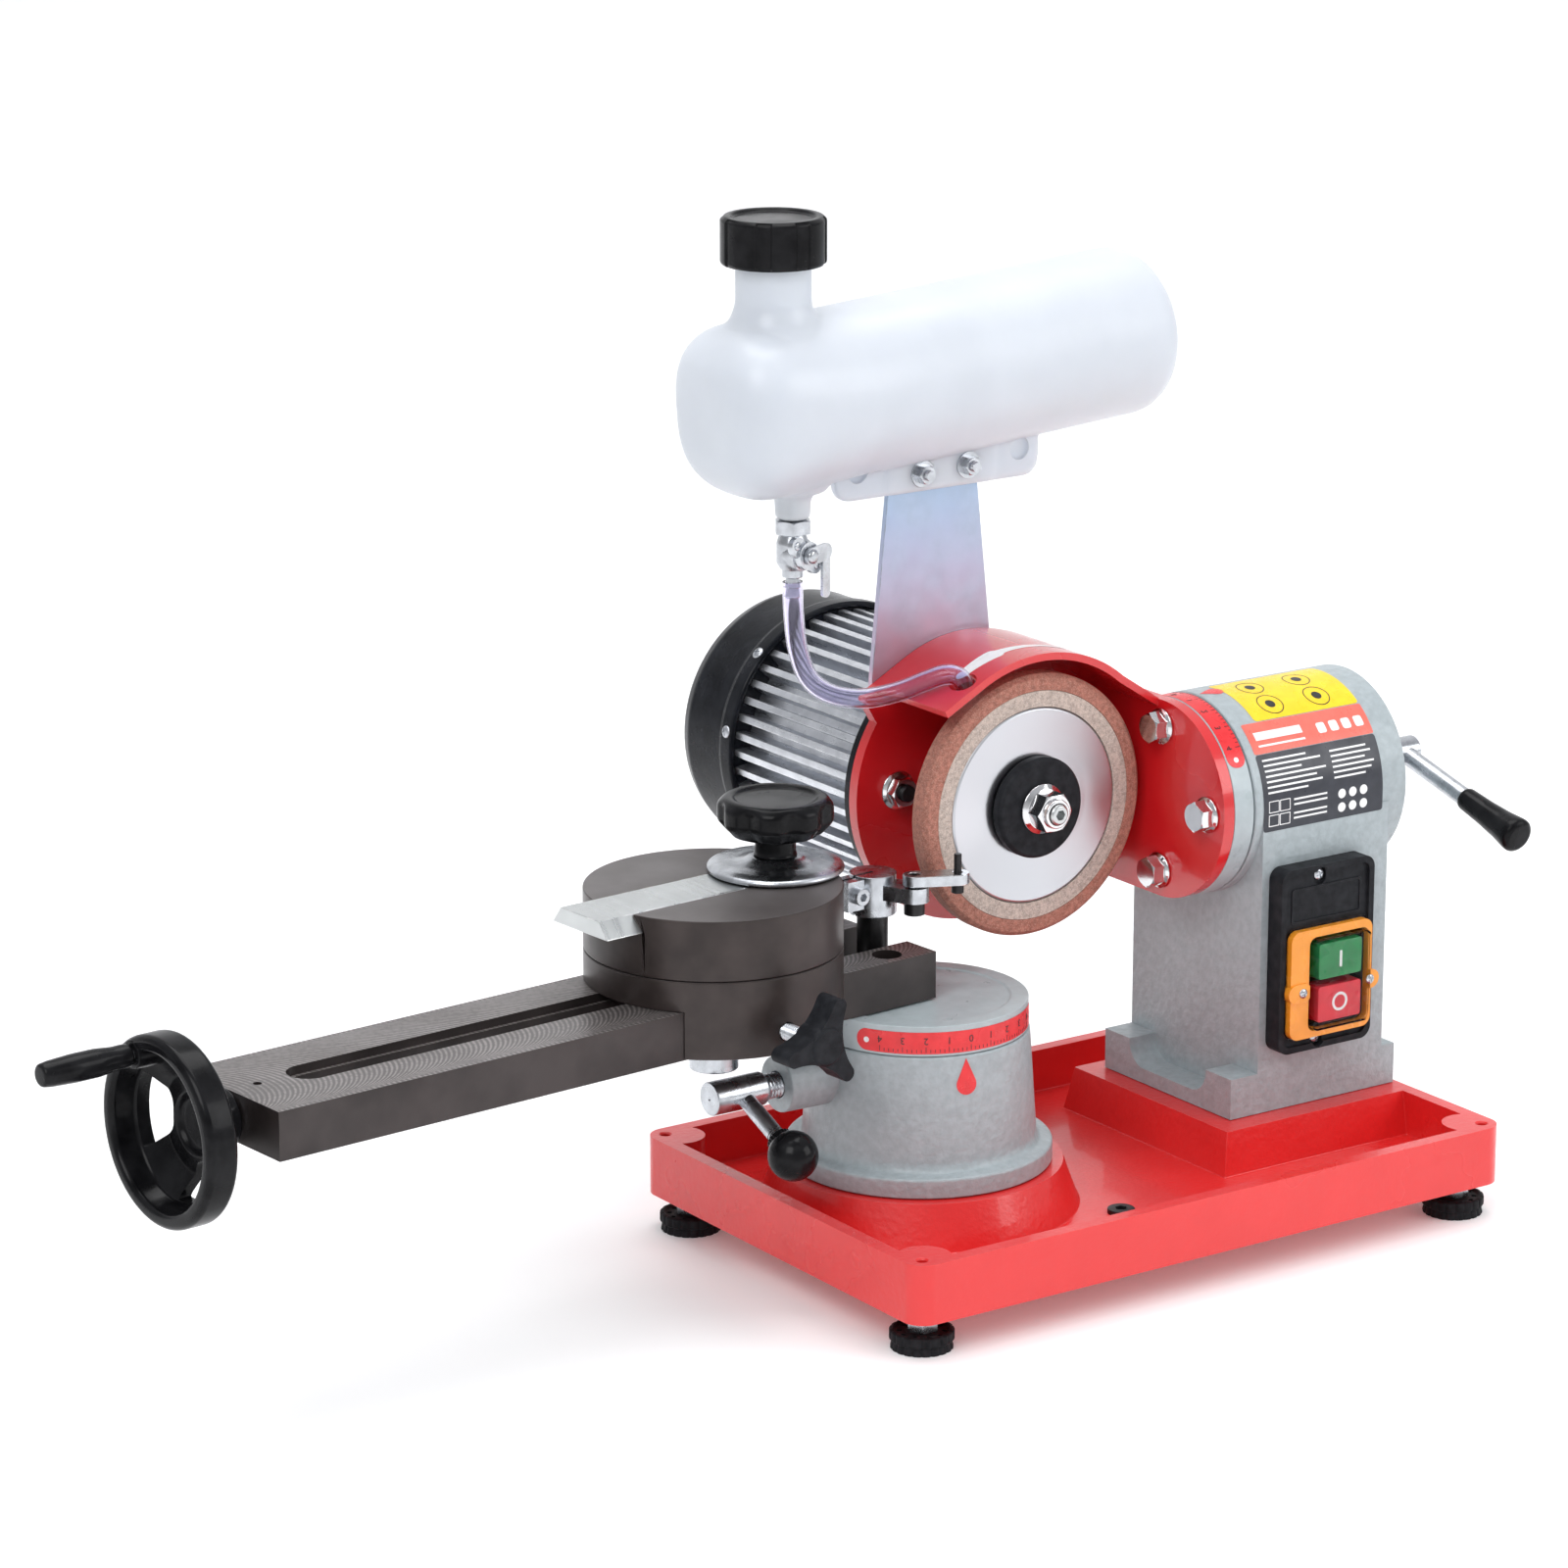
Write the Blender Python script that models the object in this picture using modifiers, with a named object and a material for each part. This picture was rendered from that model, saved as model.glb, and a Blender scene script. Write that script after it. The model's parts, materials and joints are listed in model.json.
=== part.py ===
"""Wet grinding sharpener for circular-saw blades, in metres, +Z up.

A tilting motor head with its coolant tank stands over a swivelling blade table on a cast tray. Every length
below is in millimetres in one of two frames: the tray frame, whose zero is the tray's front left bottom
corner, and the table frame, whose zero is the swivel axis. The world's origin is on the floor under the
middle of the whole machine.
"""

import math

import bmesh
import bpy
from mathutils import Matrix, Vector

MM = 0.001
GAP = 0.3  # clearance between neighbouring pieces
X, Y, Z = Vector((1, 0, 0)), Vector((0, 1, 0)), Vector((0, 0, 1))
LARGE, MEDIUM, SMALL = 28, 16, 10  # sides of round shapes

# Tray, feet and the machine's place over the origin
TRAY_LENGTH, TRAY_WIDTH, TRAY_HEIGHT = 340.0, 220.0, 28.0
WALL, FLOOR_LOW, FLOOR_TOP = 7.0, 3.0, 7.0
FOOT_HEIGHT = 17.0
FOOT_INSET = (15.5, 18.0)
ORIGIN = (15.84, 168.5, -FOOT_HEIGHT)  # the world's origin, in the tray frame
PLATFORM = ((226.0, 66.0), (TRAY_LENGTH + 1, 182.0))

# Swivel base and table
BASE_CENTRE = (88.0, 121.0)
TABLE_TURN = 4.4  # degrees the table stands turned on its base
LOCK_AXIS = (126.0, 75.5)  # y, z
LOCK_LEVER_X = -8.0
LOCK_BALL_DROP = (-42.0, -18.0)  # y, z from the lock axis to the ball
SEAM = 92.0
DISC_RADIUS, DISC_TOP = 49.8, 106.3
SPIGOT_RADIUS = 12.0
POST = (-6.3, 26.5)
POST_RADIUS, POST_FOOT, POST_TOP = 7.2, 95.8, 162.0
BEAM_X, BEAM_Y, BEAM_Z = (-358.0, 1.0), (-10.0, 62.5), (106.6, 128.6)
SCREW_AXIS = (26.5, 117.5)  # y, z
JOURNAL_RADIUS, THREAD_RADIUS = 5.0, 4.0
WHEEL_RIM, HUB_RADIUS, HUB_END = (33.0, 41.9), 13.0, -358.6
CRANK_ARM, CRANK_ANGLE = 34.6, 28.0
CARRIAGE = (-99.2, 26.5)
CARRIAGE_RADIUS, CARRIAGE_Z = 58.5, (107.0, 142.8)
PLATE_Z = (143.1, 170.8)
NUT_RADIUS = 7.7
PIVOT_RADIUS = 14.0
BAR_X, BAR_Z = (-174.0, -48.0), (163.1, 171.0)
BAR_FOOT, BAR_HEAD = (6.5, 46.5), (12.5, 40.5)
CLAMP = (-63.5, 26.5)
CLAMP_STUD = 5.0
STAR_AXIS = (-103.6, 117.2)  # x, z
LINK_PIVOT, LINK_TIP = (2.2, 6.9), (19.6, -3.0)

# Column, barrel and switch
COLUMN_X, COLUMN_Y, COLUMN_FOOT = (253.0, 329.0), (77.5, 173.5), TRAY_HEIGHT + GAP
PLINTH_X, PLINTH_TOP = (237.0, 337.0), 48.0
BARREL = (125.5, 175.5)  # y, z
BARREL_X, BARREL_RADIUS = (248.5, 340.0), 48.0
TILT_SHAFT_RADIUS, CLAMP_SCREW_RADIUS = 16.0, 5.0
SWITCH_X, SWITCH_Z, SWITCH_FRONT = (257.0, 313.0), (58.5, 148.5), 67.5
BUTTON_X, START_Z, STOP_Z = (278.0, 304.0), (93.0, 110.5), (72.0, 89.5)
BUTTON_TRAVEL = 2.0

# Head: wheel, guard, motor
SPINDLE = (162.0, 180.7)  # x, z of the wheel's axis
SPINDLE_AT = (SPINDLE[0], 0.0, SPINDLE[1])
WHEEL_Y, WHEEL_RADIUS = (134.0, 146.0), 62.5
CORE_RADIUS = 46.5
PLATE_A_Y, PLATE_A_RADIUS = (183.0, 189.0), 66.0
HOOD_RADIUS, HOOD_WALL, HOOD_FRONT = 73.5, 3.5, 129.0
HOOD_ARC = (118.0, 50.0)
HOOD_EDGE = (107.0, 234.7)  # x, z of the outer left edge, where the hood runs straight on from its arc
PLATE_B_X, PLATE_B_RADIUS = (230.0, 236.0), 47.5
BOLT_CIRCLE, BOLT_RADIUS = 35.0, 4.0
MOTOR_Y = (196.3, 290.0)
MOTOR_INNER, FIN_ROOT, FIN_TIP, FINS = 50.0, 56.0, 62.0, 28
FLANGE_RADIUS = 64.0
SHAFT_RADIUS, NOSE_RADIUS = 7.5, 5.0
BEARING = (7.8, 17.2)

# Coolant: tank, tap and hose
BRACKET_Y = (189.3, 192.3)
TANK_AXIS_Y = 186.0
TANK_START, TANK_LENGTH, TANK_RADIUS = (14.0, 370.6), 248.0, 39.5  # left end (x, z)
TANK_TILT = 4.0
NECK_X, NECK_RADIUS = 51.5, 17.2
SPOUT_X, SPOUT_RADIUS = 62.0, 8.2
TAP_Z = 304.0
TAP_TURN = 15.0  # degrees the tap's lever axis stands off -Y towards +X
HOSE_RADIUS = 4.7
HOSE_ROUTE = (
    (62, 186, 290.6), (62.6, 186, 275), (65, 186, 258), (70, 184, 244), (79, 179, 236.5),
    (91, 171, 234.5), (103, 161, 238), (112, 152, 243.6), (118.5, 146, 247), (123, 141.5, 246.5),
    (126.6, 137.2, 240.6),
)

FINISHES = {
    "red_paint": ((0.60, 0.012, 0.012), 0.28, 0.0),
    "grey_paint": ((0.34, 0.38, 0.40), 0.45, 0.0),
    "black_paint": ((0.015, 0.015, 0.017), 0.35, 0.0),
    "black_oxide": ((0.045, 0.036, 0.032), 0.45, 0.8),
    "bright_steel": ((0.62, 0.62, 0.62), 0.28, 1.0),
    "zinc": ((0.66, 0.68, 0.70), 0.3, 1.0),
    "chrome": ((0.78, 0.78, 0.79), 0.08, 1.0),
    "galvanised": ((0.60, 0.64, 0.70), 0.4, 1.0),
    "aluminium": ((0.75, 0.76, 0.78), 0.3, 1.0),
    "brown_abrasive": ((0.35, 0.13, 0.09), 0.9, 0.0),
    "black_plastic": ((0.012, 0.012, 0.014), 0.25, 0.0),
    "matt_black_plastic": ((0.02, 0.02, 0.022), 0.5, 0.0),
    "yellow_plastic": ((0.90, 0.38, 0.03), 0.35, 0.0),
    "clear_plastic": ((0.80, 0.78, 0.76), 0.1, 0.0),
    "green_plastic": ((0.03, 0.30, 0.08), 0.3, 0.0),
    "red_plastic": ((0.70, 0.06, 0.06), 0.3, 0.0),
    "milky_plastic": ((0.85, 0.87, 0.90), 0.4, 0.0),
    "rubber": ((0.02, 0.02, 0.02), 0.7, 0.0),
    "laminations": ((0.25, 0.25, 0.27), 0.5, 1.0),
}


# ---- scene, frames and materials ----


def clear_scene():
    for obj in list(bpy.data.objects):
        bpy.data.objects.remove(obj, do_unlink=True)


def new_collection(name):
    collection = bpy.data.collections.new(name)
    bpy.context.scene.collection.children.link(collection)
    return collection


def new_frame(name, parent, at, turn=0.0):
    """An empty whose children are laid out in its own millimetres."""
    empty = bpy.data.objects.new(name, None)
    PARTS.objects.link(empty)
    empty.parent = parent
    empty.location = Vector(at) * MM
    empty.rotation_euler = (0, 0, math.radians(turn))
    return empty


def finish_of(name, finish):
    colour, roughness, metallic = FINISHES[finish]
    material = bpy.data.materials.new(name + "_" + finish)
    material.use_nodes = True
    shader = material.node_tree.nodes["Principled BSDF"]
    shader.inputs["Base Color"].default_value = (*colour, 1.0)
    shader.inputs["Roughness"].default_value = roughness
    shader.inputs["Metallic"].default_value = metallic
    material.diffuse_color = (*colour, 1.0)
    return material


# ---- shapes: each is a hidden helper until piece() makes it a part ----


def helper(name, data, frame, at=(0, 0, 0)):
    obj = bpy.data.objects.new(name, data)
    HELPERS.objects.link(obj)
    obj.parent = frame
    obj.location = Vector(at) * MM
    obj.hide_render = True
    obj.display_type = "WIRE"
    return obj


def from_bmesh(name, shape, frame):
    bmesh.ops.scale(shape, vec=(MM, MM, MM), verts=shape.verts)
    mesh = bpy.data.meshes.new(name)
    shape.to_mesh(mesh)
    shape.free()
    mesh.shade_smooth()
    mesh.set_sharp_from_angle(angle=math.radians(35))
    return helper(name, mesh, frame)


def box(frame, low, high):
    shape = bmesh.new()
    bmesh.ops.create_cube(shape, size=1.0)
    low, high = Vector(low), Vector(high)
    bmesh.ops.scale(shape, vec=high - low, verts=shape.verts)
    bmesh.ops.translate(shape, vec=(low + high) / 2, verts=shape.verts)
    return from_bmesh("box", shape, frame)


def along(at, direction, distance):
    """The matrix that takes +Z to a direction and the origin to a distance along it from a point."""
    turn = Z.rotation_difference(direction).to_matrix().to_4x4()
    return Matrix.Translation(Vector(at) + direction * distance) @ turn


def rod(frame, at, direction, radius, low, high, sides=MEDIUM, far_radius=None):
    """A cylinder or cone from low to high, measured along a direction from a point on its axis."""
    shape = bmesh.new()
    bmesh.ops.create_cone(
        shape, cap_ends=True, segments=sides, radius1=radius,
        radius2=radius if far_radius is None else far_radius, depth=high - low,
    )
    bmesh.ops.transform(shape, matrix=along(at, direction, (low + high) / 2), verts=shape.verts)
    return from_bmesh("rod", shape, frame)


def ball(frame, at, radius, around=16, rings=9):
    shape = bmesh.new()
    bmesh.ops.create_uvsphere(shape, u_segments=around, v_segments=rings, radius=radius)
    bmesh.ops.translate(shape, vec=Vector(at), verts=shape.verts)
    return from_bmesh("ball", shape, frame)


def turned(frame, at, direction, profile, sides=MEDIUM):
    """A profile of (radius, distance along the axis) turned about an axis through a point. It runs down its
    outer side, and is closed unless it starts and ends on the axis."""
    mesh = bpy.data.meshes.new("turned")
    shape = bmesh.new()
    points = [shape.verts.new((radius * MM, 0, height * MM)) for radius, height in profile]
    for first, second in zip(points, points[1:]):
        shape.edges.new((first, second))
    if profile[0][0] > 0:
        shape.edges.new((points[-1], points[0]))
    shape.to_mesh(mesh)
    shape.free()
    obj = helper("turned", mesh, frame, at)
    obj.rotation_mode = "QUATERNION"
    obj.rotation_quaternion = Z.rotation_difference(direction)
    screw = obj.modifiers.new("turn", "SCREW")
    screw.axis = "Z"
    screw.steps = screw.render_steps = sides
    screw.use_merge_vertices = True
    screw.merge_threshold = 0.00001
    screw.use_smooth_shade = True
    return obj


FLAT_TURNS = {
    "X": Matrix(((0, 0, 1), (1, 0, 0), (0, 1, 0))).to_4x4(),
    "Y": Matrix(((1, 0, 0), (0, 0, -1), (0, 1, 0))).to_4x4(),
    "Z": Matrix.Identity(4),
}
FLAT_SENSE = {"X": 1, "Y": -1, "Z": 1}


def flat(frame, axis, outline, low, high, holes=()):
    """An outline extruded from low to high. It is (y, z) on X, (x, z) on Y and (x, y) on Z."""
    curve = bpy.data.curves.new("flat", "CURVE")
    curve.dimensions = "2D"
    curve.fill_mode = "BOTH"
    curve.extrude = (high - low) / 2 * MM
    for loop in (outline, *holes):
        spline = curve.splines.new("POLY")
        spline.points.add(len(loop) - 1)
        for point, (u, v) in zip(spline.points, loop):
            point.co = (u * MM, v * MM, 0, 1)
        spline.use_cyclic_u = True
    drawn = bpy.data.objects.new("flat", curve)
    HELPERS.objects.link(drawn)
    graph = bpy.context.evaluated_depsgraph_get()
    mesh = bpy.data.meshes.new_from_object(drawn.evaluated_get(graph))
    bpy.data.objects.remove(drawn, do_unlink=True)
    shape = bmesh.new()
    shape.from_mesh(mesh)
    bmesh.ops.remove_doubles(shape, verts=shape.verts, dist=0.000001)
    bmesh.ops.recalc_face_normals(shape, faces=shape.faces)
    middle = FLAT_SENSE[axis] * (low + high) / 2 * MM
    bmesh.ops.translate(shape, vec=(0, 0, middle), verts=shape.verts)
    bmesh.ops.transform(shape, matrix=FLAT_TURNS[axis], verts=shape.verts)
    shape.to_mesh(mesh)
    shape.free()
    mesh.shade_smooth()
    mesh.set_sharp_from_angle(angle=math.radians(35))
    return helper("flat", mesh, frame)


def arc(centre, radius, start, end, steps):
    """Points on an arc, ends included, from one angle in degrees to another."""
    angles = [math.radians(start + (end - start) * i / steps) for i in range(steps + 1)]
    return [(centre[0] + radius * math.cos(a), centre[1] + radius * math.sin(a)) for a in angles]


def rounded(u, v, radius, steps=3):
    """A rectangle over the ranges u and v with rounded corners."""
    corners = (
        ((u[1] - radius, v[1] - radius), 0),
        ((u[0] + radius, v[1] - radius), 90),
        ((u[0] + radius, v[0] + radius), 180),
        ((u[1] - radius, v[0] + radius), 270),
    )
    return [p for centre, a in corners for p in arc(centre, radius, a, a + 90, steps)]


def link_outline(first, second, radius, steps=6):
    """Two points with a rounded end about each."""
    heading = math.degrees(math.atan2(second[1] - first[1], second[0] - first[0]))
    ends = arc(second, radius, heading - 90, heading + 90, steps)
    return ends + arc(first, radius, heading + 90, heading + 270, steps)


def bore(radius, sides=MEDIUM):
    """A hole's radius whose flats stay a gap away from a shaft."""
    return (radius + GAP) / math.cos(math.pi / sides)


def spun(shape, at, axis, angle):
    """A helper shape turned by degrees about an axis through a point."""
    centre = Matrix.Translation(Vector(at) * MM)
    shape.data.transform(centre @ Matrix.Rotation(math.radians(angle), 4, axis) @ centre.inverted())
    return shape


def boolean(target, tools, operation):
    for tool in tools:
        modifier = target.modifiers.new(operation.lower(), "BOOLEAN")
        modifier.operation = operation
        modifier.object = tool
        modifier.solver = "EXACT"
    return target


def cut(target, *tools):
    return boolean(target, tools, "DIFFERENCE")


def join(target, *tools):
    return boolean(target, tools, "UNION")


def piece(name, shape, finish, origin=None):
    """Makes a helper shape a part of the machine, with its origin moved to a point of its frame."""
    HELPERS.objects.unlink(shape)
    PARTS.objects.link(shape)
    shape.name = name
    shape.data.name = name
    shape.hide_render = False
    shape.display_type = "TEXTURED"
    shape.data.materials.clear()
    shape.data.materials.append(finish_of(name, finish))
    if origin is not None:
        shape.data.transform(Matrix.Translation(-Vector(origin) * MM))
        shape.location = Vector(origin) * MM
    return shape


# ---- tray, feet and swivel base ----


def base_tray():
    over = TRAY_HEIGHT + 2
    body = flat(TRAY, "Z", rounded((0, TRAY_LENGTH), (0, TRAY_WIDTH), 10, 4), 0, TRAY_HEIGHT)
    inside = ((WALL, TRAY_LENGTH - WALL), (WALL, TRAY_WIDTH - WALL))
    pocket = flat(TRAY, "Z", rounded(*inside, 4, 3), FLOOR_TOP, over)
    standing = [
        box(TRAY, (*PLATFORM[0], FLOOR_TOP - 1), (*PLATFORM[1], over + 1)),
        rod(TRAY, (*BASE_CENTRE, 0), Z, 73.3, FLOOR_TOP - 1, over + 1, LARGE, far_radius=66.0),
    ]
    corner, boss_radius = 12.5, 12.3
    for x in (corner, TRAY_LENGTH - corner):
        for y in (corner, TRAY_WIDTH - corner):
            standing.append(rod(TRAY, (x, y, 0), Z, boss_radius, FLOOR_TOP - 1, over + 1, MEDIUM))
    cut(pocket, *standing)
    pad_curve = 50
    recess = flat(TRAY, "Z", rounded(*inside, pad_curve, 5), -1, FLOOR_LOW)
    shelf = TRAY_HEIGHT - 6
    hollows = [
        box(TRAY, (233, 73, -1), (329, 176, shelf)),
        rod(TRAY, (*BASE_CENTRE, 0), Z, 60, -1, shelf, LARGE),
    ]
    holes = [rod(TRAY, (*at, 0), Z, bore(4, SMALL), -1, 14, SMALL) for at in foot_places().values()]
    hole_inset = 8
    for x in (hole_inset, TRAY_LENGTH - hole_inset):
        for y in (hole_inset, TRAY_WIDTH - hole_inset):
            holes.append(rod(TRAY, (x, y, 0), Z, 3, 21, over, SMALL))
    cut(body, pocket, recess, *hollows, *holes)
    piece("base_tray", body, "red_paint", (TRAY_LENGTH / 2, TRAY_WIDTH / 2, 0))


def foot_places():
    dx, dy = FOOT_INSET
    return {
        "foot_front_left": (dx, dy),
        "foot_front_right": (TRAY_LENGTH - dx, dy),
        "foot_rear_left": (dx, TRAY_WIDTH - dy),
        "foot_rear_right": (TRAY_LENGTH - dx, TRAY_WIDTH - dy),
    }


def feet():
    stud, pad, stud_top, pad_top = 4.0, 14.5, 13.0, -8.0
    profile = [
        (0, stud_top), (stud, stud_top), (stud, pad_top), (pad - 2, pad_top), (pad, pad_top - 2),
        (pad, 1 - FOOT_HEIGHT), (pad - 1, -FOOT_HEIGHT), (0, -FOOT_HEIGHT),
    ]
    for name, at in foot_places().items():
        piece(name, turned(TRAY, (*at, 0), Z, profile, MEDIUM), "rubber")


def swivel_base():
    foot_radius, cone_low, cone_high, hollow = 61.5, 54.0, 50.5, 45.0
    low, ring_top, cone_foot, top, roof = TRAY_HEIGHT + GAP, 37.5, 41.0, SEAM - 0.2, 84.0
    neck = bore(SPIGOT_RADIUS, LARGE)
    profile = [
        (cone_high, top), (cone_low, cone_foot), (cone_low, ring_top), (foot_radius, ring_top),
        (foot_radius, low), (hollow, low), (hollow, roof), (neck, roof), (neck, top),
    ]
    body = turned(TRAY, (*BASE_CENTRE, 0), Z, profile, LARGE)
    y, z = LOCK_AXIS
    join(body, rod(TRAY, (0, y, z), X, 13, 12, 44, MEDIUM))
    cut(body, rod(TRAY, (0, y, z), X, bore(6), 10, 60, MEDIUM))
    piece("swivel_base", body, "grey_paint")


def base_lock():
    y, z = LOCK_AXIS
    collar, thread, out, shoulder, tip = 7.75, 6.0, -24.7, 8.0, 75.6
    profile = [
        (0, tip), (thread - 1, tip), (thread, tip - 1), (thread, shoulder), (collar, shoulder),
        (collar, out + 1), (collar - 1, out), (0, out),
    ]
    spindle = turned(TRAY, (0, y, z), X, profile, MEDIUM)
    drop = Vector((0, *LOCK_BALL_DROP))
    lever = drop.normalized()
    at = (LOCK_LEVER_X, y, z)
    rod_radius, ball_radius, depth = 4.0, 11.5, 3.0
    join(spindle, rod(TRAY, at, lever, rod_radius, 1, drop.length - depth, SMALL))
    piece("base_lock_handle", spindle, "zinc")
    centre = Vector(at) + drop
    knob = ball(TRAY, centre, ball_radius)
    cut(knob, rod(TRAY, centre, -lever, bore(rod_radius, SMALL), depth - 1, ball_radius + 2, SMALL))
    piece("base_lock_ball", knob, "black_plastic", centre)


# ---- turntable, beam and leadscrew ----


def turntable():
    profile = [
        (0, DISC_TOP), (DISC_RADIUS, DISC_TOP), (DISC_RADIUS, SEAM + 0.1),
        (SPIGOT_RADIUS, SEAM + 0.1), (SPIGOT_RADIUS, 50), (0, 50),
    ]
    disc = turned(TABLE, (0, 0, 0), Z, profile, LARGE)
    socket = rod(TABLE, (*POST, 0), Z, bore(POST_RADIUS), POST_FOOT - GAP, DISC_TOP + 2, MEDIUM)
    piece("turntable", cut(disc, socket), "grey_paint")


def table_beam():
    beam = box(TABLE, *zip(BEAM_X, BEAM_Y, BEAM_Z))
    low, high, y, end = BEAM_Z[0] - 1, BEAM_Z[1] + 1, SCREW_AXIS[0], BEAM_X[1] + 1
    slot_start, step_floor, fork_start = -326, 124.6, -45
    tools = [
        box(TABLE, (slot_start, y - 8, low), (end, y + 8, high)),
        box(TABLE, (slot_start, y - 10, step_floor), (end, y + 10, high)),
        box(TABLE, (fork_start, y - 16, low), (end, y + 16, high)),
        rod(TABLE, (0, *SCREW_AXIS), X, bore(JOURNAL_RADIUS), BEAM_X[0] - 2, slot_start + 1, MEDIUM),
        rod(TABLE, (-344, 27, 0), Z, 2, SCREW_AXIS[1], high, SMALL),
    ]
    for bolt_y in (0.5, 52.5):
        tools.append(rod(TABLE, (-19.5, bolt_y, 0), Z, 6.75, 114.6, high, MEDIUM))
        tools.append(rod(TABLE, (-19.5, bolt_y, 0), Z, 4.3, low, 116, SMALL))
    cut(beam, *tools)
    piece("table_beam", beam, "black_oxide", (-178, 26, 117.5))


def leadscrew():
    start, shoulder, end = -373.2, -326.5, -48
    profile = [
        (0, end), (THREAD_RADIUS - 1, end), (THREAD_RADIUS, end - 1), (THREAD_RADIUS, shoulder),
        (JOURNAL_RADIUS, shoulder), (JOURNAL_RADIUS, start), (0, start),
    ]
    piece("leadscrew", turned(TABLE, (0, *SCREW_AXIS), X, profile, MEDIUM), "bright_steel")


def handwheel():
    """A dished wheel: three broad spokes run back from the deep rim to the hub."""
    low, back, hub_face = -396.0, -381.0, -373.4
    inner, outer = WHEEL_RIM
    profile = [
        (0, HUB_END), (HUB_RADIUS, HUB_END), (HUB_RADIUS, -367.6), (22, -370.8), (35.6, back + 1),
        (outer - 1.7, back), (outer, back - 1.6), (outer, low + 2), (outer - 1.9, low), (inner + 3, low),
        (inner + 1.6, low + 1.6), (inner + 0.2, -384.6), (22, -376.4), (HUB_RADIUS, -377),
        (HUB_RADIUS - 2, hub_face), (0, hub_face),
    ]
    rim = turned(TABLE, (0, *SCREW_AXIS), X, profile, LARGE)
    crank = (0, *crank_axis())
    join(rim, rod(TABLE, crank, X, 6.4, low + 0.2, back, MEDIUM))
    cut(rim, rod(TABLE, (0, *SCREW_AXIS), X, bore(JOURNAL_RADIUS), -400, -350, MEDIUM))
    cut(rim, rod(TABLE, crank, X, bore(3, SMALL), low - 2, back, SMALL))
    for angle in (CRANK_ANGLE + 60, CRANK_ANGLE + 180, CRANK_ANGLE + 300):
        near = [wheel_point(16.5, angle - 22), wheel_point(16.5, angle + 22)]
        far = [wheel_point(32.0, angle + turn) for turn in (30, 15, 0, -15, -30)]
        cut(rim, flat(TABLE, "X", near + far, low, HUB_END - 2))
    piece("handwheel", rim, "black_plastic")


def wheel_point(reach, angle):
    """The (y, z) of a point on the handwheel, at an angle from upright."""
    turn = math.radians(angle)
    return SCREW_AXIS[0] + reach * math.sin(turn), SCREW_AXIS[1] + reach * math.cos(turn)


def crank_axis():
    return wheel_point(CRANK_ARM, CRANK_ANGLE)


def crank_grip():
    foot, end, slim, stout, pin = -397.0, -440.5, 5.0, 6.2, 3.0
    profile = [
        (0, -382), (pin, -382), (pin, foot), (slim, foot), (stout, foot - 16),
        (stout - 0.6, end + 2), (stout - 2.4, end), (0, end),
    ]
    piece("crank_grip", turned(TABLE, (0, *crank_axis()), X, profile, MEDIUM), "black_plastic")


# ---- carriage, swivel plate and blade clamp ----


def carriage():
    low, high = CARRIAGE_Z
    block = rod(TABLE, (*CARRIAGE, 0), Z, CARRIAGE_RADIUS, low, high, LARGE)
    reach = CARRIAGE_RADIUS + 2
    ends = (CARRIAGE[0] - reach, CARRIAGE[0] + reach)
    side = 0.6
    roof = BEAM_Z[1] + 0.4
    tools = [
        box(TABLE, (ends[0], BEAM_Y[0] - side, low - 2), (ends[1], BEAM_Y[1] + side, roof)),
        rod(TABLE, (*CARRIAGE, 0), Z, bore(PIVOT_RADIUS, MEDIUM), 137.5, high + 2, MEDIUM),
        rod(TABLE, (*CARRIAGE, 0), Z, bore(NUT_RADIUS), roof - 1, 134, MEDIUM),
        rod(TABLE, (STAR_AXIS[0], 0, STAR_AXIS[1]), Y, bore(4, SMALL), -40, -8, SMALL),
    ]
    cut(block, *tools)
    piece("carriage_block", block, "black_oxide", (*CARRIAGE, 0))
    profile = [
        (0, 133.5), (NUT_RADIUS, 133.5), (NUT_RADIUS, 106.0), (11.2, 106.0), (11.2, 84.8), (0, 84.8),
    ]
    nut = turned(TABLE, (*CARRIAGE, 0), Z, profile, MEDIUM)
    cut(nut, rod(TABLE, (0, *SCREW_AXIS), X, bore(THREAD_RADIUS, SMALL), -120, -80, SMALL))
    piece("leadscrew_nut", nut, "zinc")


def dovetail(grow):
    """The bar's cross-section in y and z, grown all round by a clearance."""
    low, high = BAR_Z
    foot, head = BAR_FOOT, BAR_HEAD
    slope = (head[0] - foot[0]) / (high - low)
    above = high + 2 * grow
    lean = slope * (above - low)
    return [
        (foot[0] - 1.3 * grow, low - grow), (foot[1] + 1.3 * grow, low - grow),
        (foot[1] + 1.3 * grow - lean, above), (foot[0] - 1.3 * grow + lean, above),
    ]


def swivel_plate():
    low, high = PLATE_Z
    profile = [
        (0, high), (CARRIAGE_RADIUS, high), (CARRIAGE_RADIUS, low), (PIVOT_RADIUS, low),
        (PIVOT_RADIUS, 138), (0, 138),
    ]
    plate = turned(TABLE, (*CARRIAGE, 0), Z, profile, LARGE)
    ends = (CARRIAGE[0] - CARRIAGE_RADIUS - 2, CARRIAGE[0] + CARRIAGE_RADIUS + 2)
    cut(plate, flat(TABLE, "X", dovetail(GAP), *ends))
    piece("swivel_plate", plate, "black_oxide")


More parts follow.
